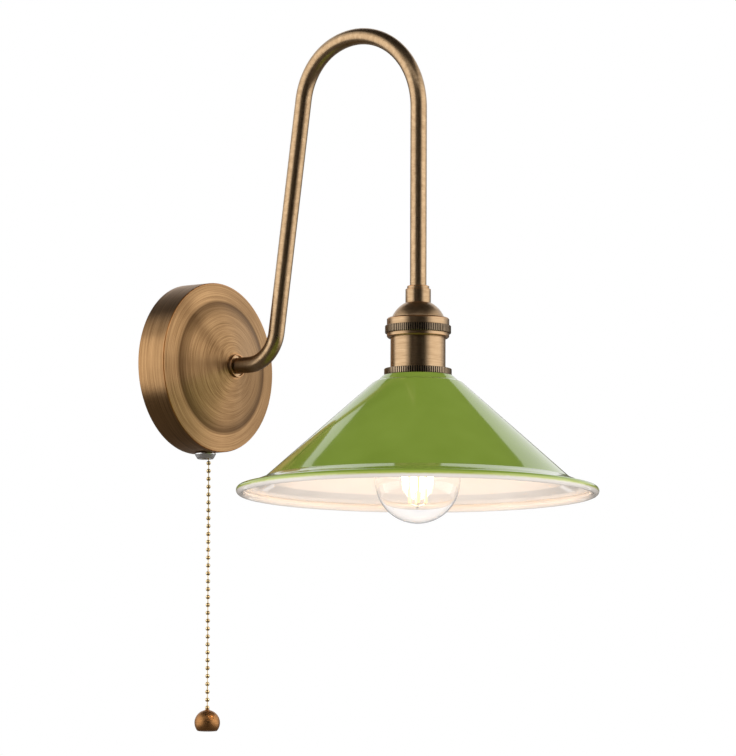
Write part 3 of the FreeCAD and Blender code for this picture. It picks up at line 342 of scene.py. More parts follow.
def antique(name, light, dark, edge, roughness, lines=9000.0, around=1.6, anisotropy=0.55, depth=0.000006,
            clouds=0.12, crease=None):
    """Brushed antique brass: fine turned lines, a darker patina in clouds, bare metal on the edges, which on
    knurl tooth tops is partly a painted highlight.
    """
    n = Nodes(name)
    fine = n.noise(n.brush_coords(lines, around), 1.0, 3.0, 0.6)
    broad = n.noise(n.brush_coords(lines * 0.12, around), 1.0, 2.0, 0.5)
    cloud = n.noise(n.object_coords(), 38.0, 3.0, 0.55)
    tone = n.math("ADD", n.math("MULTIPLY", fine, 0.6 - clouds), n.math("MULTIPLY", broad, 0.4))
    tone = n.math("ADD", tone, n.math("MULTIPLY", cloud, clouds))
    colour = n.mix(n.ramp(tone, 0.36, 0.66), dark, light)
    # Painted shade: the plate's crease is darkened towards a dark brown.
    if crease:
        colour = n.mix(crease_shade_depth(n, crease), colour, CREASE_SHADE)
    # Edge colour where the attribute is high: rubbed bare metal, and on knurl tooth tops partly a painted
    # highlight.
    rub_and_highlight = n.math("MULTIPLY", n.attribute("wear_and_highlight"), n.ramp(cloud, 0.3, 0.6, 0.35, 1.0), clamp=True)
    n.link(n.mix(rub_and_highlight, colour, edge), "Base Color")
    n.link(n.ramp(tone, 0.3, 0.7, roughness + 0.07, roughness - 0.05), "Roughness")
    n.shader.inputs["Metallic"].default_value = 1.0
    n.shader.inputs["Anisotropic"].default_value = anisotropy
    n.bump(fine, 0.35, depth)
    return n


def crease_shade_depth(n, radius):
    """How strongly painted shade darkens the plate's crease: a long fade from inside, a short one from
    outside.
    """
    split = n.add("SeparateXYZ", {0: n.object_coords()})
    across = n.math("MULTIPLY", split.outputs[0], split.outputs[0])
    upright = n.math("MULTIPLY", split.outputs[2], split.outputs[2])
    out = n.math("SQRT", n.math("ADD", across, upright))
    inside = n.ramp(out, radius - CREASE_SHADE_INSIDE, radius)
    outside = n.ramp(out, radius, radius + CREASE_SHADE_OUTSIDE, 0.75, 0.0)
    return n.math("MULTIPLY", inside, outside)


def with_tangent(n, axis):
    """Turned lines run round the axis, so the highlight fans out across them."""
    tangent = n.add("Tangent", direction_type="RADIAL", axis=axis)
    n.link(tangent.outputs[0], "Tangent")
    n.shader.inputs["Anisotropic Rotation"].default_value = 0.25
    return n.material


BRASS_LIGHT = rgb(186, 158, 124)
BRASS_DARK = rgb(152, 124, 92)
BRASS_EDGE = rgb(206, 134, 74)
# Painted shade colour for the plate's crease, and how far it fades inwards and outwards.
CREASE_SHADE = rgb(70, 46, 24)
CREASE_SHADE_INSIDE = 0.009
CREASE_SHADE_OUTSIDE = 0.0022

plate_brass = with_tangent(antique("plate_brass", rgb(186, 148, 104), rgb(126, 94, 60), BRASS_EDGE, 0.33,
                                   around=1.2, anisotropy=0.9, crease=crease_r * MM), "Y")
lamp_brass = with_tangent(antique("lamp_brass", BRASS_LIGHT, BRASS_DARK, BRASS_EDGE, 0.3,
                                  anisotropy=0.4), "Z")
arm_brass = antique("arm_brass", BRASS_LIGHT, BRASS_DARK, BRASS_EDGE, 0.3, lines=2400.0, anisotropy=0.0,
                    depth=0.000003).material
# Its light edge colour marks the knurl tooth tops: worn bare metal and partly a painted highlight.
dark_brass = antique("dark_knurled_brass", rgb(52, 42, 34), rgb(26, 21, 17), rgb(196, 172, 142), 0.3,
                     anisotropy=0.0).material
ball_brass = antique("ball_brass", rgb(176, 128, 80), rgb(146, 102, 60), rgb(190, 136, 84), 0.42,
                     anisotropy=0.0, clouds=0.05).material


def plain_metal(name, light, dark, roughness, scale=220.0):
    """Cast, plated or drawn metal, with faint mottling."""
    n = Nodes(name)
    cloud = n.noise(n.object_coords(), scale, 4.0, 0.6)
    n.link(n.mix(n.ramp(cloud, 0.35, 0.65), dark, light), "Base Color")
    n.link(n.ramp(cloud, 0.3, 0.7, roughness + 0.08, roughness - 0.04), "Roughness")
    n.shader.inputs["Metallic"].default_value = 1.0
    n.bump(cloud, 0.15, 0.00002)
    return n.material


nickel = plain_metal("nickel", rgb(236, 236, 236), rgb(216, 216, 218), 0.3)
zinc = plain_metal("zinc_steel", rgb(196, 198, 200), rgb(150, 152, 156), 0.34, 140.0)
chain_brass = plain_metal("chain_brass", rgb(236, 214, 168), rgb(206, 178, 126), 0.24)
bright_brass = plain_metal("bright_brass", rgb(222, 190, 122), rgb(180, 146, 84), 0.28)
cap_metal = plain_metal("bulb_metal", rgb(206, 206, 204), rgb(170, 170, 170), 0.25)


def moulded(name, light, dark, roughness, scale=900.0, depth=0.00002):
    """Moulded plastic, rubber or glazed ceramic: fine grain and faint cloudiness."""
    n = Nodes(name)
    grain = n.noise(n.object_coords(), scale, 3.0, 0.6)
    cloud = n.noise(n.object_coords(), 60.0, 2.0, 0.5)
    n.link(n.mix(n.ramp(cloud, 0.3, 0.7), dark, light), "Base Color")
    n.link(n.ramp(grain, 0.3, 0.7, roughness - 0.05, roughness + 0.08), "Roughness")
    n.bump(grain, 0.25, depth)
    return n.material


nylon = moulded("terminal_nylon", rgb(232, 230, 222), rgb(216, 213, 202), 0.42)
black_case = moulded("switch_black", rgb(34, 33, 32), rgb(22, 22, 22), 0.38)
white_acetal = moulded("switch_white", rgb(232, 230, 224), rgb(218, 216, 208), 0.3)
sheath_white = moulded("sheath_white", rgb(226, 224, 218), rgb(206, 204, 196), 0.5)
brown_core = moulded("core_brown", rgb(112, 68, 40), rgb(88, 52, 32), 0.42)
blue_core = moulded("core_blue", rgb(40, 90, 168), rgb(30, 70, 140), 0.42)
porcelain = moulded("porcelain", rgb(238, 235, 226), rgb(228, 224, 214), 0.16, 500.0)
black_glass = moulded("bulb_black", rgb(20, 20, 22), rgb(10, 10, 12), 0.12)


def striped_core():
    """Green insulation with a yellow stripe wound along it."""
    n = Nodes("core_green_yellow")
    split = n.add("SeparateXYZ", {0: n.object_coords()})
    wave = n.math("SINE", n.math("MULTIPLY", n.math("ADD", split.outputs[0], split.outputs[2]), 1400.0))
    n.link(n.mix(n.ramp(wave, -0.1, 0.1), rgb(62, 130, 60), rgb(226, 206, 60)), "Base Color")
    grain = n.noise(n.object_coords(), 900.0)
    n.link(n.ramp(grain, 0.3, 0.7, 0.36, 0.5), "Roughness")
    n.bump(grain, 0.2, 0.00002)
    return n.material


earth_core = striped_core()


def enamel():
    """Vitreous enamel: green outside, white inside, flowing into each other on the rolled bead, with a
    painted yellow-green highlight where the green runs over the bead.
    """
    n = Nodes("shade_enamel")
    flow = n.noise(n.object_coords(), 22.0, 2.0, 0.5)
    peel = n.noise(n.object_coords(), 320.0, 2.0, 0.5)
    green = n.mix(n.ramp(flow, 0.3, 0.7), rgb(124, 147, 52), rgb(134, 157, 62))
    white = n.mix(n.ramp(flow, 0.3, 0.7), rgb(228, 220, 212), rgb(238, 230, 222))
    side = n.attribute("paint")
    ragged = n.math("ADD", side, n.math("MULTIPLY", n.math("SUBTRACT", peel, 0.5), 0.06))
    edge = n.ramp(ragged, 0.42, 0.58)
    # Painted highlight: lighter yellow-green on the bead before the green gives way to white.
    bead_highlight = n.mix(n.ramp(side, 0.2, 0.45), green, rgb(176, 186, 84))
    n.link(n.mix(edge, bead_highlight, white), "Base Color")
    n.shader.inputs["Roughness"].default_value = 0.1
    n.shader.inputs["Coat Weight"].default_value = 0.5
    n.shader.inputs["Coat Roughness"].default_value = 0.03
    swell = n.math("ADD", n.math("MULTIPLY", flow, 3.0), n.math("MULTIPLY", peel, 0.1))
    n.bump(swell, 0.2, 0.0004)
    return n.material


shade_enamel = enamel()


def clear_glass():
    """Clear thin glass that lets the lamp's light out."""
    n = Nodes("bulb_clear")
    n.shader.inputs["Base Color"].default_value = (1.0, 1.0, 1.0, 1.0)
    n.shader.inputs["Transmission Weight"].default_value = 1.0
    n.shader.inputs["IOR"].default_value = 1.46
    haze = n.noise(n.object_coords(), 45.0, 2.0, 0.5)
    n.link(n.ramp(haze, 0.3, 0.7, 0.0, 0.03), "Roughness")
    through = n.add("BsdfTransparent")
    path = n.add("LightPath")
    either = n.math("MAXIMUM", path.outputs["Is Shadow Ray"], path.outputs["Is Diffuse Ray"])
    mix = n.add("MixShader", {0: either, 1: n.shader.outputs[0], 2: through.outputs[0]})
    n.tree.links.new(mix.outputs[0], n.output.inputs["Surface"])
    return n.material


bulb_clear = clear_glass()


def glowing():
    """Phosphor of the filaments, hot in the middle of each."""
    n = Nodes("filament_glow")
    speck = n.noise(n.object_coords(), 700.0, 2.0, 0.5)
    n.link(n.mix(speck, rgb(255, 206, 120), rgb(255, 226, 160)), "Base Color")
    n.link(n.mix(speck, rgb(255, 208, 130), rgb(255, 224, 164)), "Emission Color")
    n.shader.inputs["Emission Strength"].default_value = 1.05
    n.shader.inputs["Roughness"].default_value = 0.5
    return n.material


filament_glow = glowing()

SLOT_MATERIALS = {
    "antique_brass": lamp_brass,
    "dark_knurled_brass": dark_brass,
    "green_enamel": shade_enamel,
    "zinc_steel": zinc,
    "brass_screws": arm_brass,
    "bright_brass": bright_brass,
    "chain_brass": chain_brass,
    "ball_brass": ball_brass,
    "nickel": nickel,
    "terminal_nylon": nylon,
    "switch_black": black_case,
    "switch_white": white_acetal,
    "sheath_white": sheath_white,
    "core_brown": brown_core,
    "core_blue": blue_core,
    "core_green_yellow": earth_core,
    "porcelain": porcelain,
    "bulb_clear": bulb_clear,
    "bulb_metal": cap_metal,
    "bulb_black": black_glass,
    "filament_glow": filament_glow,
}

# Every solid that is carried over from the frame takes the material of its slot.
for entry in frame["record"]["subparts"]:
    node = frame["nodes"][entry["node"]]
    node.data.materials.clear()
    node.data.materials.append(SLOT_MATERIALS[entry["material_slot"]])


# ---------------------------------------------------------------- wall plate, ferrule and arm
def offset(path, wall):
    """An outline moved to its left by the wall."""
    moved = []
    for k, here in enumerate(path):
        before = path[max(k - 1, 0)]
        after = path[min(k + 1, len(path) - 1)]
        along = (Vector(after) - Vector(before)).normalized()
        moved.append(Vector(here) + Vector((-along.y, along.x)) * wall)
    return moved


plate_line = rounded([(plate_r, 0.0), (plate_r, plate_side), (crease_r, crease_u), (boss_r, boss_u),
                      (hole_r, boss_u)], [1.0, 7.0, 2.2], math.radians(6))
plate = lathe("plate_spun", plate_line + offset(plate_line, plate_wall)[::-1], WALL, plate_brass, sides=256,
              slot="antique_brass")
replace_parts(plate, "wall_plate")

ferrule_line = rounded([(hole_r, boss_u), (ferrule_r, boss_u), (ferrule_r, ferrule_cup_u),
                        (ferrule_cup_r, ferrule_cup_u), (ferrule_cup_r, arm_root_u), (hole_r, arm_root_u),
                        (hole_r, boss_u + 0.2)], [0.1, 0.3, 0.25, 0.1, 0.05])
ferrule = lathe("arm_ferrule_cup", ferrule_line, WALL, arm_brass, slot="antique_brass")
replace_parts(ferrule, "arm_ferrule")


# The arm leaves the plate, turns up into the leaning leg, goes over in two arcs and drops to the lamp.
root_end_u, root_bend_r = 51.68, 25.04
leg_run, drop_run = 164.56, 134.14
rear_arch_r, front_arch_r = 46.50, 54.65
rear_arch = math.radians(57.70)


def arm_line(step=math.radians(3), run_step=12):
    """Points down the middle of the arm, from the ferrule to the lampholder, in (x, y, z)."""
    turns = [(root_end_u - arm_root_u, 0, 0), (0, root_bend_r, math.pi / 2 - lean), (leg_run, 0, 0),
             (0, rear_arch_r, -rear_arch), (0, front_arch_r, -(math.pi - lean - rear_arch)), (drop_run, 0, 0)]
    here = Vector((0, -arm_root_u, 0))
    heading = 0.0
    line = [here.copy()]
    for run, radius, turn in turns:
        along = Vector((0, -math.cos(heading), math.sin(heading)))
        left = Vector((0, math.sin(heading), math.cos(heading)))
        if run:
            pieces = max(1, round(run / run_step))
            line += [here + along * (run * k / pieces) for k in range(1, pieces + 1)]
        else:
            side = 1 if turn > 0 else -1
            centre = here + left * side * radius
            count = math.ceil(abs(turn) / step)
            for k in range(1, count + 1):
                angle = heading + turn * k / count
                line.append(centre - Vector((0, math.sin(angle), math.cos(angle))) * side * radius)
            heading += turn
        here = line[-1].copy()
    return line


arm = swept("arm_gooseneck", arm_line(), tube_r, Matrix(), arm_brass, sides=64, bore=tube_bore_r,
            slot="antique_brass")
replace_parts(arm, "arm_tube")

# ---------------------------------------------------------------- lampholder
collar_line = rounded([(hole_r, collar_low_z), (collar_r, collar_low_z), (collar_r, collar_step_z),
                       (collar_lip_r, collar_step_z), (collar_lip_r, collar_top_z),
                       (collar_bore_r, collar_top_z), (collar_bore_r, tube_end_z), (hole_r, tube_end_z),
                       (hole_r, collar_low_z + 0.2)],
                      [0.1, 0.4, 0.15, 0.5, 0.3, 0.1, 0.0])
collar = lathe("holder_collar_turned", collar_line, LAMP, lamp_brass, slot="antique_brass")
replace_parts(collar, "holder_collar")


def knurl(name, rim_r, depth, bore_r, low, high, teeth, material, chamfer=0.35):
    """Ring with straight knurling: flat-topped teeth, sloped flanks, and ends chamfered all round."""
    shape = [(-0.5, 0), (-0.34, 0), (-0.22, 1), (0.22, 1), (0.34, 0)]
    levels = [(low, chamfer), (low + chamfer, 0), (high - chamfer, 0), (high, chamfer)]
    vertices, faces, uvs = [], [], []
    around = teeth * len(shape)
    for z, cut in levels:
        for tooth in range(teeth):
            for place, up in shape:
                angle = TAU * (tooth + place) / teeth
                r = min(rim_r - depth * (1 - up), rim_r - cut)
                vertices.append((r * math.cos(angle), r * math.sin(angle), z))
    for level in range(len(levels) - 1):
        for k in range(around):
            after = (k + 1) % around
            a, b = level * around, (level + 1) * around
            faces.append((a + k, a + after, b + after, b + k))
            uvs += [(k / around, levels[level][0] * MM), ((k + 1) / around, levels[level][0] * MM),
                    ((k + 1) / around, levels[level + 1][0] * MM), (k / around, levels[level + 1][0] * MM)]
    inner = len(vertices)
    for z in (low, high):
        for k in range(around):
            angle = math.atan2(vertices[k][1], vertices[k][0])
            vertices.append((bore_r * math.cos(angle), bore_r * math.sin(angle), z))
    top = (len(levels) - 1) * around
    for k in range(around):
        after = (k + 1) % around
        faces.append((inner + after, inner + k, inner + around + k, inner + around + after))
        faces.append((after, k, inner + k, inner + after))
        faces.append((top + k, top + after, inner + around + after, inner + around + k))
        uvs += [(k / around, 0.01), ((k + 1) / around, 0.01), ((k + 1) / around, 0.012),
                (k / around, 0.012)] * 3
    # Tooth tops take the material's light edge colour: worn bare metal and partly a painted highlight.
    wear_and_highlight = [0.0] * len(vertices)
    for index in range(inner):
        if shape[index % len(shape)][1]:
            wear_and_highlight[index] = 0.8
    return make(name, vertices, faces, uvs, LAMP, material, slot="dark_knurled_brass", wear_and_highlight=wear_and_highlight, sharp=20)


dome_z, dome_r, dome_inner_r = 15.2, 19.6, 18.5
dome_foot_r, cap_bore_r, cap_flange_r = 18.3, 17.2, 20.33
flange_low_z, flange_top_z, cap_ceiling_z = 17.3, 18.8, 30.2
dome = arc((0, dome_z), dome_r, math.degrees(math.acos(dome_foot_r / dome_r)),
           math.degrees(math.acos(collar_r / dome_r)), 24)
dome_inner = arc((0, dome_z), dome_inner_r, math.degrees(math.asin((cap_ceiling_z - dome_z) / dome_inner_r)),
                 math.degrees(math.acos(cap_bore_r / dome_inner_r)), 18)
cap_line = [(cap_bore_r, flange_low_z), (cap_flange_r, flange_low_z), (cap_flange_r, flange_top_z),
            (dome_foot_r, flange_top_z)] + dome
cap_line += [(collar_r, collar_low_z), (hole_r, collar_low_z), (hole_r, cap_ceiling_z)] + dome_inner
cap = lathe("holder_cap_spun", cap_line, LAMP, lamp_brass, slot="antique_brass")
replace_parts(cap, "holder_cap")

ring_low, ring_high = 8.1, 22.0
ring_r, ring_edge_r, ring_bevel = 21.7, 20.9, 0.9
ring_lip_r, ring_cup_r, ring_floor_z, ring_lip_z = 18.6, 20.63, 14.7, 18.9
band_low, band_high, band_seat_r, band_bore_r, band_r = 11.3, 16.5, 21.2, 21.0, 22.95
ring_line = rounded([(ring_lip_r, ring_high), (ring_edge_r, ring_high), (ring_r, ring_high - ring_bevel),
                     (ring_r, band_high), (band_seat_r, band_high), (band_seat_r, band_low),
                     (ring_r, band_low), (ring_r, ring_low + ring_bevel), (ring_edge_r, ring_low),
                     (sleeve_r, ring_low), (sleeve_r, ring_floor_z), (ring_cup_r, ring_floor_z),
                     (ring_cup_r, ring_lip_z), (ring_lip_r, ring_lip_z), (ring_lip_r, ring_high - 0.2)],
                    [0.4, 0.4, 0.2, 0.05, 0.05, 0.2, 0.4, 0.4, 0.1, 0.1, 0.1, 0.1, 0.1])
ring_line.reverse()
union = lathe("union_ring", ring_line, LAMP, lamp_brass, slot="dark_knurled_brass")
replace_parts(union, "cap_ring")
knurl("union_knurl", band_r, knurl_depth, band_bore_r, band_low - 0.1, band_high + 0.1, knurl_teeth,
      dark_brass)
upper_knurl = knurl("shade_ring_knurled", shade_ring_r, knurl_depth, sleeve_r, shade_neck_z, shade_ring_top_z,
                    knurl_teeth, dark_brass)
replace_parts(upper_knurl, "shade_ring")

# The shell is plain down to the shade's ring and threaded below it.
shell_top_z, shell_low_z = 15.2, -37.0
thread_top, thread_end, thread_pitch, thread_depth = -24.6, -36.2, 1.4, 0.35
shell_outer = [(shell_r, shell_top_z), (shell_r, -13.0), (shell_r, thread_top)]
z = thread_top
while z - thread_pitch > thread_end:
    shell_outer += [(shell_r - thread_depth, z - 0.45 * thread_pitch), (shell_r, z - thread_pitch)]
    z -= thread_pitch
shell_outer += [(shell_r, shell_low_z + 0.4), (shell_r - 0.3, shell_low_z),
                (shell_r - shell_wall, shell_low_z), (shell_r - shell_wall, shell_top_z)]
shell = lathe("holder_shell_drawn", shell_outer[::-1], LAMP, lamp_brass, slot="antique_brass")
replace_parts(shell, "holder_shell")

lower_ring_r, lower_ring_low, lower_ring_high = 22.4, -24.3, -19.3
lower_ring_line = rounded([(sleeve_r, lower_ring_low), (lower_ring_r - 0.6, lower_ring_low),
                           (lower_ring_r, lower_ring_low + 0.6), (lower_ring_r, lower_ring_high),
                           (sleeve_r, lower_ring_high), (sleeve_r, lower_ring_low + 0.2)],
                          [0.3, 0.3, 0.3, 0.1])
lower_ring = lathe("shade_ring_lower_turned", lower_ring_line, LAMP, dark_brass, slot="dark_knurled_brass")
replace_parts(lower_ring, "shade_ring_lower")


# ---------------------------------------------------------------- shade
def cone_r(z):
    """Radius of the shade's cone at a height."""
    return cone_slope * (cone_apex_z - z)


def shade():
    """One skin: green down the outside and over the bead, white back up the inside."""
    wall, row = 1.1, 6
    roll_centre, roll_r = Vector((123.0, -98.6)), 3.0
    cone_top, cone_foot = -22.9, -90.2
    corners = [(19.43, shade_neck_z), (24.2, shade_neck_z), (27.9, cone_top + 1.0),
               (cone_r(cone_top), cone_top), (cone_r(cone_foot), cone_foot),
               (roll_centre.x, roll_centre.y + 0.7 * roll_r)]
    outer = rounded(corners, [1.2, 1.6, 1.6, 4.0], math.radians(5))
    straight = []
    for a, b in zip(outer, outer[1:]):
        count = max(1, math.ceil((b - a).length / row))
        straight += [a + (b - a) * k / count for k in range(count)]
    outer = straight + [outer[-1]]
    inner = [Vector(p) for p in offset(outer, -wall)]
    # The bead leaves the sheet's outer face along it and curls round to its inner face.
    drop = (Vector(corners[5]) - Vector(corners[4])).normalized()
    normal = Vector((-drop.y, drop.x))
    start = math.atan2(normal.y, normal.x)
    outer = [p for p in outer if p.x < roll_centre.x - 1.0]
    inner = [p for p in inner if p.x < roll_centre.x - 3.0]
    roll = []
    turns = 30
    sweep = math.radians(292)
    for k in range(turns + 1):
        angle = start - sweep * k / turns
        roll.append(roll_centre + Vector((math.cos(angle), math.sin(angle))) * roll_r)
    line = outer + roll + inner[::-1]
    paint = [0.0] * len(outer)
    paint += [min(1.0, k / turns * 1.8) for k in range(turns + 1)]
    paint += [1.0] * len(inner)
    line = [tuple(p) for p in line][::-1]
    return lathe("shade_enamelled", line, LAMP, shade_enamel, sides=320, paint=paint[::-1],
                 slot="green_enamel", sharp=60)


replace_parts(shade(), "shade")

# ---------------------------------------------------------------- bulb
bulb_centre, bulb_r, bulb_wall = -91.5, 29.8, 0.6


def bulb_skin(shrink):
    """The envelope's outline from its foot up to the cap, moved inwards by shrink."""
    ball = bulb_r - shrink
    neck_r, neck_z, bend = 15.2, -53.0, 14.0
    to_centre = Vector((-neck_r, bulb_centre - neck_z))
    away = math.asin(bulb_r / to_centre.length)
    angle = math.atan2(to_centre.y, to_centre.x) + away
    reach = (bulb_centre - bulb_r - neck_z) / math.sin(angle)
    corner = (neck_r + reach * math.cos(angle), bulb_centre - bulb_r)
    line = rounded([(0.0, bulb_centre - bulb_r), corner, (neck_r, neck_z), (12.2, -39.0)], [bulb_r, bend],
                   math.radians(3.5))
    if shrink:
        line = offset(line, shrink)
        line[0] = Vector((0.0, bulb_centre - ball))
    return line


envelope = lathe("bulb_envelope", bulb_skin(0) + bulb_skin(bulb_wall)[::-1], LAMP, bulb_clear, sides=128,
                 slot="bulb_clear", closed=False, sharp=70)
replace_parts(envelope, "bulb_glass")

# ---------------------------------------------------------------- bead chain
bead_r, bead_hole_r, link_r = 1.55, 0.5, 0.36
link_end = 1.3         # how far from a bead's centre its link ends


def bead_mesh(name, z, body):
    """A rolled bead: a ball with a small hole at each end."""
    start = math.degrees(math.asin(bead_hole_r / bead_r))
    line = [(bead_r * math.sin(math.radians(a)), -bead_r * math.cos(math.radians(a)))
            for a in [start + (180 - 2 * start) * k / 12 for k in range(13)]]
    line = [(bead_hole_r, -1.2)] + line + [(bead_hole_r, 1.2)]
    return lathe(name, line, CHAIN @ Matrix.Translation((0, 0, z * MM)), chain_brass, sides=20, closed=False,
                 body=body, slot="chain_brass", sharp=50)


def link_mesh(name, top, bottom, place, body):
    """A short straight wire between two beads."""
    return swept(name, [(0, 0, bottom), (0, 0, top)], link_r, place, chain_brass, sides=12, body=body,
                 slot="chain_brass")


def joined(name, pieces, body):
    """One piece from several that ride on the same body."""
    bpy.ops.object.select_all(action="DESELECT")
    for piece in pieces:
        piece.select_set(True)
    bpy.context.view_layer.objects.active = pieces[0]
    bpy.ops.object.join()
    pieces[0].name = name
    pieces[0].data.name = name
    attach(pieces[0], body)
    return pieces[0]


def hung(name, first, count, body, node, link_above):
    """Beads and links hanging down from a first bead, as one piece in the place of its solid."""
    parts = []
    for k in range(count):
        z = first - k * bead_pitch
        parts.append(bead_mesh("%s_bead_%d" % (name, k), z, body))
        if k or link_above:
            low, high = z + link_end, z + bead_pitch - link_end
            parts.append(link_mesh("%s_link_%d" % (name, k), high, low, CHAIN, body))
    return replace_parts(joined(name, parts, body), node)


hung("chain_inside", first_bead_z + 4 * bead_pitch, 4, "chain_slider", "chain_top", False)
hung("chain_pivot", first_bead_z, 1, "chain_pivot", "chain_pivot_bead", True)
hung("chain_hanging", first_bead_z - bead_pitch, bead_count - 1, "pull_chain", "bead_chain", True)

last_bead_z = first_bead_z - (bead_count - 1) * bead_pitch
ball_r, ball_foot, ball_neck_r = 9.0, 5.8, 1.9
ball_z = last_bead_z - 10.6
ball_top_z = last_bead_z - 1.35
foot = math.degrees(math.asin(-ball_foot / ball_r))
neck = math.degrees(math.acos(ball_neck_r / ball_r))
ball_line = [(0.0, ball_z - ball_foot), (ball_r * math.cos(math.radians(foot)) - 0.3, ball_z - ball_foot)]
ball_line += [(x, ball_z + y) for x, y in arc((0, 0), ball_r, foot + 2, neck, 40)]
ball_line += [(ball_neck_r, last_bead_z - 1.6), (1.6, ball_top_z), (0.6, ball_top_z), (0.0, ball_top_z)]
ball = lathe("pull_ball_turned", ball_line, CHAIN, ball_brass, sides=96, closed=False, body="pull_chain",
             slot="ball_brass")
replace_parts(ball, "pull_ball")

bell_top, bell_height, bell_r, bell_mouth_r = -plate_r - 0.05, 4.2, 7.45, 4.5
bell_line = rounded([(hole_r, bell_top), (bell_r - 0.4, bell_top), (bell_r, bell_top - 0.4),
                     (bell_r, bell_top - 1.0), (6.55, bell_top - 2.6), (5.8, bell_top - 3.9),
                     (5.4, bell_top - bell_height), (4.8, bell_top - bell_height),
                     (bell_mouth_r, bell_top - 3.6), (bell_mouth_r, bell_top - 2.7),
                     (hole_r, bell_top - 2.6), (hole_r, bell_top - 0.2)],
                    [0.2, 0.3, 0.5, 1.5, 0.4, 0.2, 0.2, 0.2, 0.1, 0.1])
bell = lathe("bell_nut_turned", bell_line[::-1], BUSH, nickel, sides=96, slot="nickel")
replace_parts(bell, "bell_nut")

# ---------------------------------------------------------------- camera, as the photograph was taken
azimuth, elevation, roll = math.radians(-50.9059), math.radians(-6.47455), math.radians(0.2)
CAMERA_DISTANCE = 6.5
FOCAL_LENGTH = 440.755
back = Vector((math.sin(azimuth) * math.cos(elevation), -math.cos(azimuth) * math.cos(elevation),
               math.sin(elevation)))
right = Vector((math.cos(azimuth), math.sin(azimuth), 0.0))
up = back.cross(right)
camera_right = math.cos(roll) * right + math.sin(roll) * up
camera_up = -math.sin(roll) * right + math.cos(roll) * up
aim = Vector((0, -90.0, 0)) * MM + 53.925 * MM * right - 11.741 * MM * up
camera = bpy.data.objects.new("camera", bpy.data.cameras.new("camera"))
bpy.context.scene.collection.objects.link(camera)
turned = Matrix((camera_right, camera_up, back)).transposed().to_4x4()
camera.matrix_world = Matrix.Translation(aim + back * CAMERA_DISTANCE) @ turned
camera.data.lens = FOCAL_LENGTH
camera.data.sensor_width = 36.0
camera.data.clip_end = 60.0
bpy.context.scene.camera = camera


# ---------------------------------------------------------------- floor, world and lamps
def floor():
    """Floor well below the light: white to the camera, pale to light, clear from underneath."""
    mesh = bpy.data.meshes.new("floor")
    half, low = 30.0, -1.2
    corners = [(-half, -half, low), (half, -half, low), (half, half, low), (-half, half, low)]
    mesh.from_pydata(corners, [], [(0, 1, 2, 3)])
    piece = bpy.data.objects.new("floor", mesh)
    bpy.context.scene.collection.objects.link(piece)
    n = Nodes("floor")
    n.shader.inputs["Base Color"].default_value = (0.98, 0.98, 0.98, 1.0)
    n.shader.inputs["Roughness"].default_value = 0.9
    white = n.add("Emission", {"Color": (1, 1, 1, 1), "Strength": 1.0})
    seen = n.add("LightPath").outputs["Is Camera Ray"]
    mix = n.add("MixShader", {0: seen, 1: n.shader.outputs[0], 2: white.outputs[0]})
    under = n.add("NewGeometry").outputs["Backfacing"]
    clear = n.add("BsdfTransparent")
    both = n.add("MixShader", {0: under, 1: mix.outputs[0], 2: clear.outputs[0]})
    n.tree.links.new(both.outputs[0], n.output.inputs["Surface"])
    mesh.materials.append(n.material)


floor()


AMBIENT = 0.85


def studio_world():
    """Even pale light, with white wherever the camera, metal or glass looks past the object and its stage."""
    world = bpy.data.worlds.new("studio")
    bpy.context.scene.world = world
    world.use_nodes = True
    tree = world.node_tree
    path = tree.nodes.new("ShaderNodeLightPath")
    white = path.outputs["Is Camera Ray"]
    for kind in ("Is Glossy Ray", "Is Transmission Ray"):
        either = tree.nodes.new("ShaderNodeMath")
        either.operation = "MAXIMUM"
        tree.links.new(white, either.inputs[0])
        tree.links.new(path.outputs[kind], either.inputs[1])
        white = either.outputs[0]
    strength = tree.nodes.new("ShaderNodeMapRange")
    strength.inputs[3].default_value = AMBIENT
    strength.inputs[4].default_value = 1.0
    tree.links.new(white, strength.inputs[0])
    tree.nodes["Background"].inputs["Color"].default_value = (1, 1, 1, 1)
    tree.links.new(strength.outputs[0], tree.nodes["Background"].inputs["Strength"])


studio_world()

CENTRE = Vector((0, -0.1, 0))


def stand(bearing, height, distance):
    """A place on the set: a bearing in degrees to the right of the camera's side, a height and a distance."""
    turn = math.radians(bearing)
    level = Vector((math.sin(azimuth), -math.cos(azimuth), 0)) * math.cos(turn) + right * math.sin(turn)
    return CENTRE + level * distance + Vector((0, 0, height))


def facing(place):
    """A frame at the place whose -Z looks at the object."""
    return Matrix.Translation(place) @ (CENTRE - place).to_track_quat("-Z", "Y").to_matrix().to_4x4()


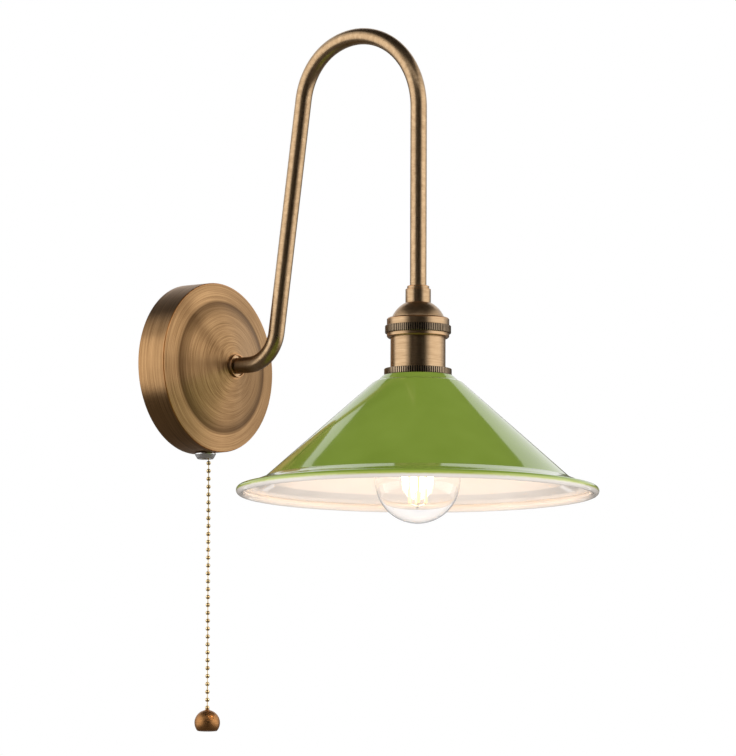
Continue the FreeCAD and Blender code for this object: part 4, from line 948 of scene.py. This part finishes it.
def flag(name, bearing, height, distance, width, tall, glow):
    """A dark card that only reflections see, which gives the metal its dark bands."""
    mesh = bpy.data.meshes.new(name)
    w, t = width / 2, tall / 2
    mesh.from_pydata([(-w, -t, 0), (w, -t, 0), (w, t, 0), (-w, t, 0)], [], [(0, 1, 2, 3)])
    card = bpy.data.objects.new(name, mesh)
    bpy.context.scene.collection.objects.link(card)
    card.matrix_world = facing(stand(bearing, height, distance))
    n = Nodes(name)
    grey = n.add("Emission", {"Color": (1.0, 0.9, 0.8, 1.0), "Strength": glow})
    n.tree.links.new(grey.outputs[0], n.output.inputs["Surface"])
    mesh.materials.append(n.material)
    card.visible_camera = False
    card.visible_diffuse = False
    card.visible_shadow = False
    card.visible_transmission = False


def softbox(name, bearing, height, distance, width, tall, radiance):
    """A soft light that faces the object."""
    light = bpy.data.lights.new(name, "AREA")
    light.shape = "RECTANGLE"
    light.size = width
    light.size_y = tall
    light.energy = radiance * math.pi * width * tall
    lamp = bpy.data.objects.new(name, light)
    bpy.context.scene.collection.objects.link(lamp)
    lamp.matrix_world = facing(stand(bearing, height, distance))


# Metal reflects white softboxes at both sides and dark cards before, behind, above and below it.
for side, bearing in (("right", 80), ("left", -80)):
    softbox("softbox_" + side, bearing, height=0.1, distance=2.2, width=2.6, tall=2.4, radiance=0.95)
flag("flag_front", 0, height=0.0, distance=2.2, width=3.3, tall=3.0, glow=0.015)
flag("flag_strip", -11, height=0.0, distance=2.1, width=0.2, tall=3.0, glow=0.2)
flag("flag_back", 180, height=-0.2, distance=3.4, width=8.0, tall=1.9, glow=0.12)
flag("flag_above", 0, height=3.0, distance=0.01, width=5.4, tall=5.4, glow=0.04)
flag("flag_below", 0, height=-1.0, distance=0.01, width=5.0, tall=5.0, glow=0.14)


BULB_POWER = 0.26
BULB_COLOUR = (1.0, 0.72, 0.48)


def bulb_light():
    """Warm light of the lit bulb inside the shade."""
    light = bpy.data.lights.new("bulb_light", "POINT")
    light.energy = BULB_POWER
    light.color = BULB_COLOUR
    light.shadow_soft_size = 0.012
    lamp = bpy.data.objects.new("bulb_light", light)
    bpy.context.scene.collection.objects.link(lamp)
    lamp.location = (0, -lamp_u * MM, -0.088)


bulb_light()

bpy.context.scene.view_settings.view_transform = "Standard"
